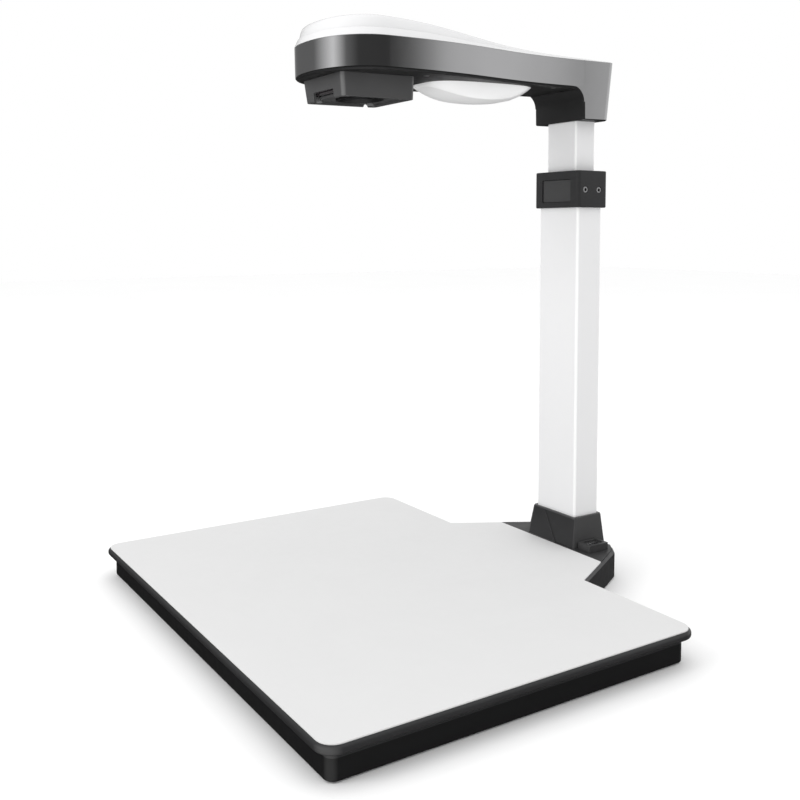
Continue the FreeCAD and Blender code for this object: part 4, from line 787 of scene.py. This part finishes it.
def make_top_cover():
    bm = bmesh.new()

    def surface(rows):
        grid = []
        for row in rows:
            right = [bm.verts.new(Vector(p) * MM) for p in row]
            left = [right[0]] + [bm.verts.new(Vector((-x, y, z)) * MM) for x, y, z in row[1:-1]] + [right[-1]]
            grid.append((right, left))
        for (right_a, left_a), (right_b, left_b) in zip(grid, grid[1:]):
            for a, b in ((right_a, right_b), (left_a, left_b)):
                for i in range(len(a) - 1):
                    bm.faces.new((a[i], a[i + 1], b[i + 1], b[i]))
        right, left = grid[-1]
        for i in range(len(right) - 1):
            corners = [right[i], right[i + 1], left[i + 1], left[i]]
            unique = list(dict.fromkeys(corners))
            if len(unique) > 2:
                bm.faces.new(unique)
        return grid[0]

    outer = surface(cover_loops(0.0, 0.0))
    inner = surface(cover_loops(2.2, 1.6))
    for a, b in zip(outer, inner):
        for i in range(len(a) - 1):
            bm.faces.new((a[i], a[i + 1], b[i + 1], b[i]))
    obj = turned(finish_mesh("top_cover_skin", bm, 26.0))
    piece(obj, "head", "cover_white", M["cover_white"], "top_cover")


# ---- camera module and lamp ----

MODULE_BOTTOM = ARM_TOP - 45.3
FACE_Z = MODULE_BOTTOM + 2.6


def make_camera_housing():
    wx, wy, y0 = 63.3, 67.7, SHEET_Y - 41.0
    mid = y0 + wy / 2
    levels = []
    for t, extra in ((1.0, 0.0), (0.04, 0.0), (0.012, -0.15), (0.0, -0.6)):
        levels.append(rounded_loop(0, mid - 0.95 * t, wx + 3.4 * t + 2 * extra, wy + 1.9 * t + 2 * extra,
                                   3.5 + extra, MODULE_BOTTOM + (ARM_UNDER - MODULE_BOTTOM) * t, 8))
    levels += [rounded_loop(0, mid, wx - 4.0, wy - 4.0, 1.8, MODULE_BOTTOM, 8),
               rounded_loop(0, mid, wx - 4.4, wy - 4.4, 1.6, MODULE_BOTTOM + 0.3, 8),
               rounded_loop(0, mid, wx - 4.4, wy - 4.4, 1.6, ARM_UNDER - 2.0, 8)]
    obj = loft("camera_housing_skin", levels)
    notch = block("notch", -17, 17, y0 - 4, y0 + 3.2, MODULE_BOTTOM - 1, MODULE_BOTTOM + 7.4)
    combine(obj, notch, "DIFFERENCE")
    nick = rod("nick", (-wx / 2, y0 + wy - 10.0, MODULE_BOTTOM), (1, 0, 0), 2.6, 8.0)
    combine(obj, nick, "DIFFERENCE")
    bevel(obj, 0.3, 2, limit=50)
    piece(turned(obj), "head", "module_dark", M["module_dark"], "camera_housing")


def make_lens():
    z = FACE_Z
    centre = (0, LENS_Y, 0)
    bezel = lathe("lens_bezel_skin", [(20.0, z + 5.0), (20.0, z - 0.9), (19.7, z - 1.3), (19.2, z - 1.4),
                                      (18.6, z - 1.4), (18.3, z - 1.2), (14.3, z + 2.7), (14.0, z + 3.0),
                                      (14.0, z + 5.0)], centre)
    piece(turned(bezel), "head", "lens_black", M["lens_black"], "lens_bezel")
    top = ARM_UNDER + 3.2
    steps = [(13.2, top), (13.2, z + 10.0), (12.6, z + 9.9), (12.6, z + 8.9), (13.2, z + 8.8), (13.2, z + 1.0),
             (12.8, z + 0.6), (11.8, z + 0.6), (10.9, z + 1.4), (10.9, z + 1.7), (10.2, z + 2.2),
             (10.2, z + 2.5), (9.3, z + 3.2), (9.2, z + 3.6), (9.2, top)]
    piece(turned(lathe("lens_barrel_skin", steps, centre)), "head", "lens_black", M["lens_black"], "lens_barrel")
    dome = [(9.05 * math.sin(a), z + 4.2 + 24.0 * (1 - math.cos(a * 0.3865))) for a in
            (math.pi / 2 * k / 10 for k in range(10, -1, -1))]
    dome = [(max(r, 0.0001), h) for r, h in dome]
    glass_piece = lathe("lens_front_glass", [(9.05, z + 6.9)] + dome + [(0.0001, z + 6.9)], centre)
    piece(turned(glass_piece), "head", "lens_glass", M["lens_glass"], "lens_glass")


def lamp_loop(half_x, half_y, low, ends, full=0.6):
    """Oval below the arm: low is the drop of its long sides, ends the drop at its two ends."""
    points = []
    count = 96
    for i in range(count):
        a = 2 * math.pi * i / count
        c, s = math.cos(a), math.sin(a)
        x = half_x * math.copysign(abs(c) ** full, c)
        y = half_y * math.copysign(abs(s) ** full, s)
        along = abs(y) / half_y
        points.append((x, SHEET_Y + 110.0 + y, ARM_UNDER - low + (low - ends) * along ** 2.2))
    return points


def make_lamp():
    outer = [lamp_loop(30.5, 56.0, 0.0, 0.0), lamp_loop(30.35, 55.9, 0.7, 0.1),
             lamp_loop(27.6, 55.5, 4.6, 0.9), lamp_loop(24.6, 55.1, 8.0, 1.6, 0.62),
             lamp_loop(21.8, 54.7, 10.6, 2.1, 0.64), lamp_loop(19.8, 54.3, 12.1, 2.5, 0.66),
             lamp_loop(19.0, 54.0, 12.55, 2.8, 0.67), lamp_loop(17.9, 53.4, 12.8, 3.4, 0.68),
             lamp_loop(15.0, 49.0, 13.3, 6.4, 0.72), lamp_loop(11.0, 40.0, 13.9, 10.2, 0.8),
             lamp_loop(6.5, 26.0, 14.4, 13.0, 0.9), lamp_loop(2.0, 9.0, 14.8, 14.6, 1.0)]
    inner = [lamp_loop(1.0, 4.0, 13.2, 13.1, 1.0), lamp_loop(13.0, 44.0, 11.8, 6.2, 0.7),
             lamp_loop(18.6, 51.0, 9.4, 2.0, 0.66), lamp_loop(25.8, 53.4, 3.8, 0.6, 0.62),
             lamp_loop(28.9, 54.4, 0.0, 0.0)]
    loops = outer + inner
    bm = bmesh.new()
    rings = ring_verts(bm, loops)
    bottom = len(outer)
    count = len(rings[0])
    for k, (low, high) in enumerate(zip(rings, rings[1:] + rings[:1])):
        if k + 1 == bottom:
            bm.faces.new(low)
            bm.faces.new(high)
        else:
            strip(bm, low, high)
    obj = turned(finish_mesh("lamp_skin", bm, 24.0))
    piece(obj, "head", "lamp_white", M["lamp_white"], "lamp_diffuser")
    # The downward middle of the lamp gets the rougher, darker grey material: the finish is its own, the darker grey
    # is painted shade.
    obj.data.materials.append(M["lamp_window"])
    for face in obj.data.polygons[6 * count:(bottom - 1) * count + 1]:
        face.material_index = 1


make_copy_sheet()
make_table_frame()
make_table_base()
make_feet()
make_rear_bracket()
make_mast_socket()
make_port_block()
make_mast()
make_collar()
make_collar_screws()
make_button_springs()
make_arm_shell()
make_top_cover()
make_camera_housing()
make_lens()
make_lamp()


# ---- stage ----

def add_floor():
    bm = bmesh.new()
    half = 6.0
    for x, y in ((-half, -half), (half, -half), (half, half), (-half, half)):
        bm.verts.new((x, y, 0))
    bm.faces.new(bm.verts)
    mesh = bpy.data.meshes.new("floor")
    bm.to_mesh(mesh)
    bm.free()
    floor = collection_link(bpy.data.objects.new("floor", mesh))
    s = Shader("floor")
    s.put(s.tint(s.noise(0.4), (0.93, 0.93, 0.93), (0.95, 0.95, 0.95)), "Base Color")
    s.bsdf.inputs["Roughness"].default_value = 0.9
    s.bsdf.inputs["Specular IOR Level"].default_value = 0.0
    mesh.materials.append(s.mat)
    floor.visible_glossy = False


add_floor()


def add_light(name, at, towards, size, power, size_y=None):
    data = bpy.data.lights.new(name, "AREA")
    data.energy = power
    data.size = size
    if size_y:
        data.shape = "RECTANGLE"
        data.size_y = size_y
    lamp = bpy.data.objects.new(name, data)
    lamp.location = at
    lamp.rotation_euler = (Vector(towards) - Vector(at)).to_track_quat("-Z", "Y").to_euler()
    lamp.visible_glossy = False
    collection_link(lamp)


# The room seen in reflections, as (azimuth in degrees, brightness): a soft panel in front, a broad one to the
# right and behind, and a dark room between them.
ROOM = ((-180, 0.20), (-135, 0.24), (-96, 1.28), (-68, 0.24), (-40, 0.08), (31, 0.07), (35, 0.16),
        (46, 0.80), (60, 0.95), (120, 0.90), (180, 0.20))
SKY, UNDER = 0.75, 0.03                # reflections: overhead, and below the horizon
SOFT = (0.70, 1.36)                    # light on matt surfaces: at the horizon, and straight up

def add_world():
    """White behind the object; a graded room for light and reflections."""
    world = bpy.data.worlds.new("studio")
    bpy.context.scene.world = world
    world.use_nodes = True
    tree = world.node_tree
    back = tree.nodes["Background"]
    link = tree.links.new
    coords = tree.nodes.new("ShaderNodeTexCoord")
    split = tree.nodes.new("ShaderNodeSeparateXYZ")
    link(coords.outputs["Generated"], split.inputs[0])
    angle = tree.nodes.new("ShaderNodeMath")
    angle.operation = "ARCTAN2"
    link(split.outputs["Y"], angle.inputs[0])
    link(split.outputs["X"], angle.inputs[1])
    turn = tree.nodes.new("ShaderNodeMapRange")
    turn.inputs["From Min"].default_value = -math.pi
    turn.inputs["From Max"].default_value = math.pi
    link(angle.outputs[0], turn.inputs["Value"])
    ramp = tree.nodes.new("ShaderNodeValToRGB")
    points = ramp.color_ramp.elements
    for k, (azimuth, value) in enumerate(ROOM):
        at = (azimuth + 180) / 360
        point = points[k] if k < 2 else points.new(at)
        point.position = at
        point.color = (value, value, value, 1)
    link(turn.outputs[0], ramp.inputs["Fac"])
    path = tree.nodes.new("ShaderNodeLightPath")

    def by_height(low, high, value_low, value_high):
        node = tree.nodes.new("ShaderNodeMapRange")
        for name, value in (("From Min", low), ("From Max", high), ("To Min", value_low), ("To Max", value_high)):
            node.inputs[name].default_value = value
        link(split.outputs["Z"], node.inputs["Value"])
        return node.outputs["Result"]

    def mixed(factor, before, after):
        node = tree.nodes.new("ShaderNodeMix")
        node.data_type = "RGBA"
        for name, source in (("Factor", factor), ("A", before), ("B", after)):
            if isinstance(source, float):
                node.inputs[name].default_value = (source, source, source, 1)
            else:
                link(source, node.inputs[name])
        return node.outputs["Result"]

    shown = mixed(by_height(0.32, 0.75, 0.0, 1.0), ramp.outputs["Color"], SKY)
    shown = mixed(by_height(-0.10, 0.03, 0.0, 1.0), UNDER, shown)
    shown = mixed(path.outputs["Is Diffuse Ray"], shown, by_height(0.0, 1.0, *SOFT))
    shown = mixed(path.outputs["Is Camera Ray"], shown, 1.0)
    link(shown, back.inputs["Color"])
    back.inputs["Strength"].default_value = 1.0


add_world()
add_light("right_soft", (2.2, 0.9, 1.0), (0, 0, 0.3), 1.2, 1, 1.4)
add_light("front_soft", (-0.3, -2.2, 1.3), (0, 0, 0.3), 1.0, 15, 1.2)
add_light("top_soft", (0.1, 0.0, 2.4), (0, 0, 0), 1.6, 3)
bpy.context.scene.view_settings.view_transform = "Standard"
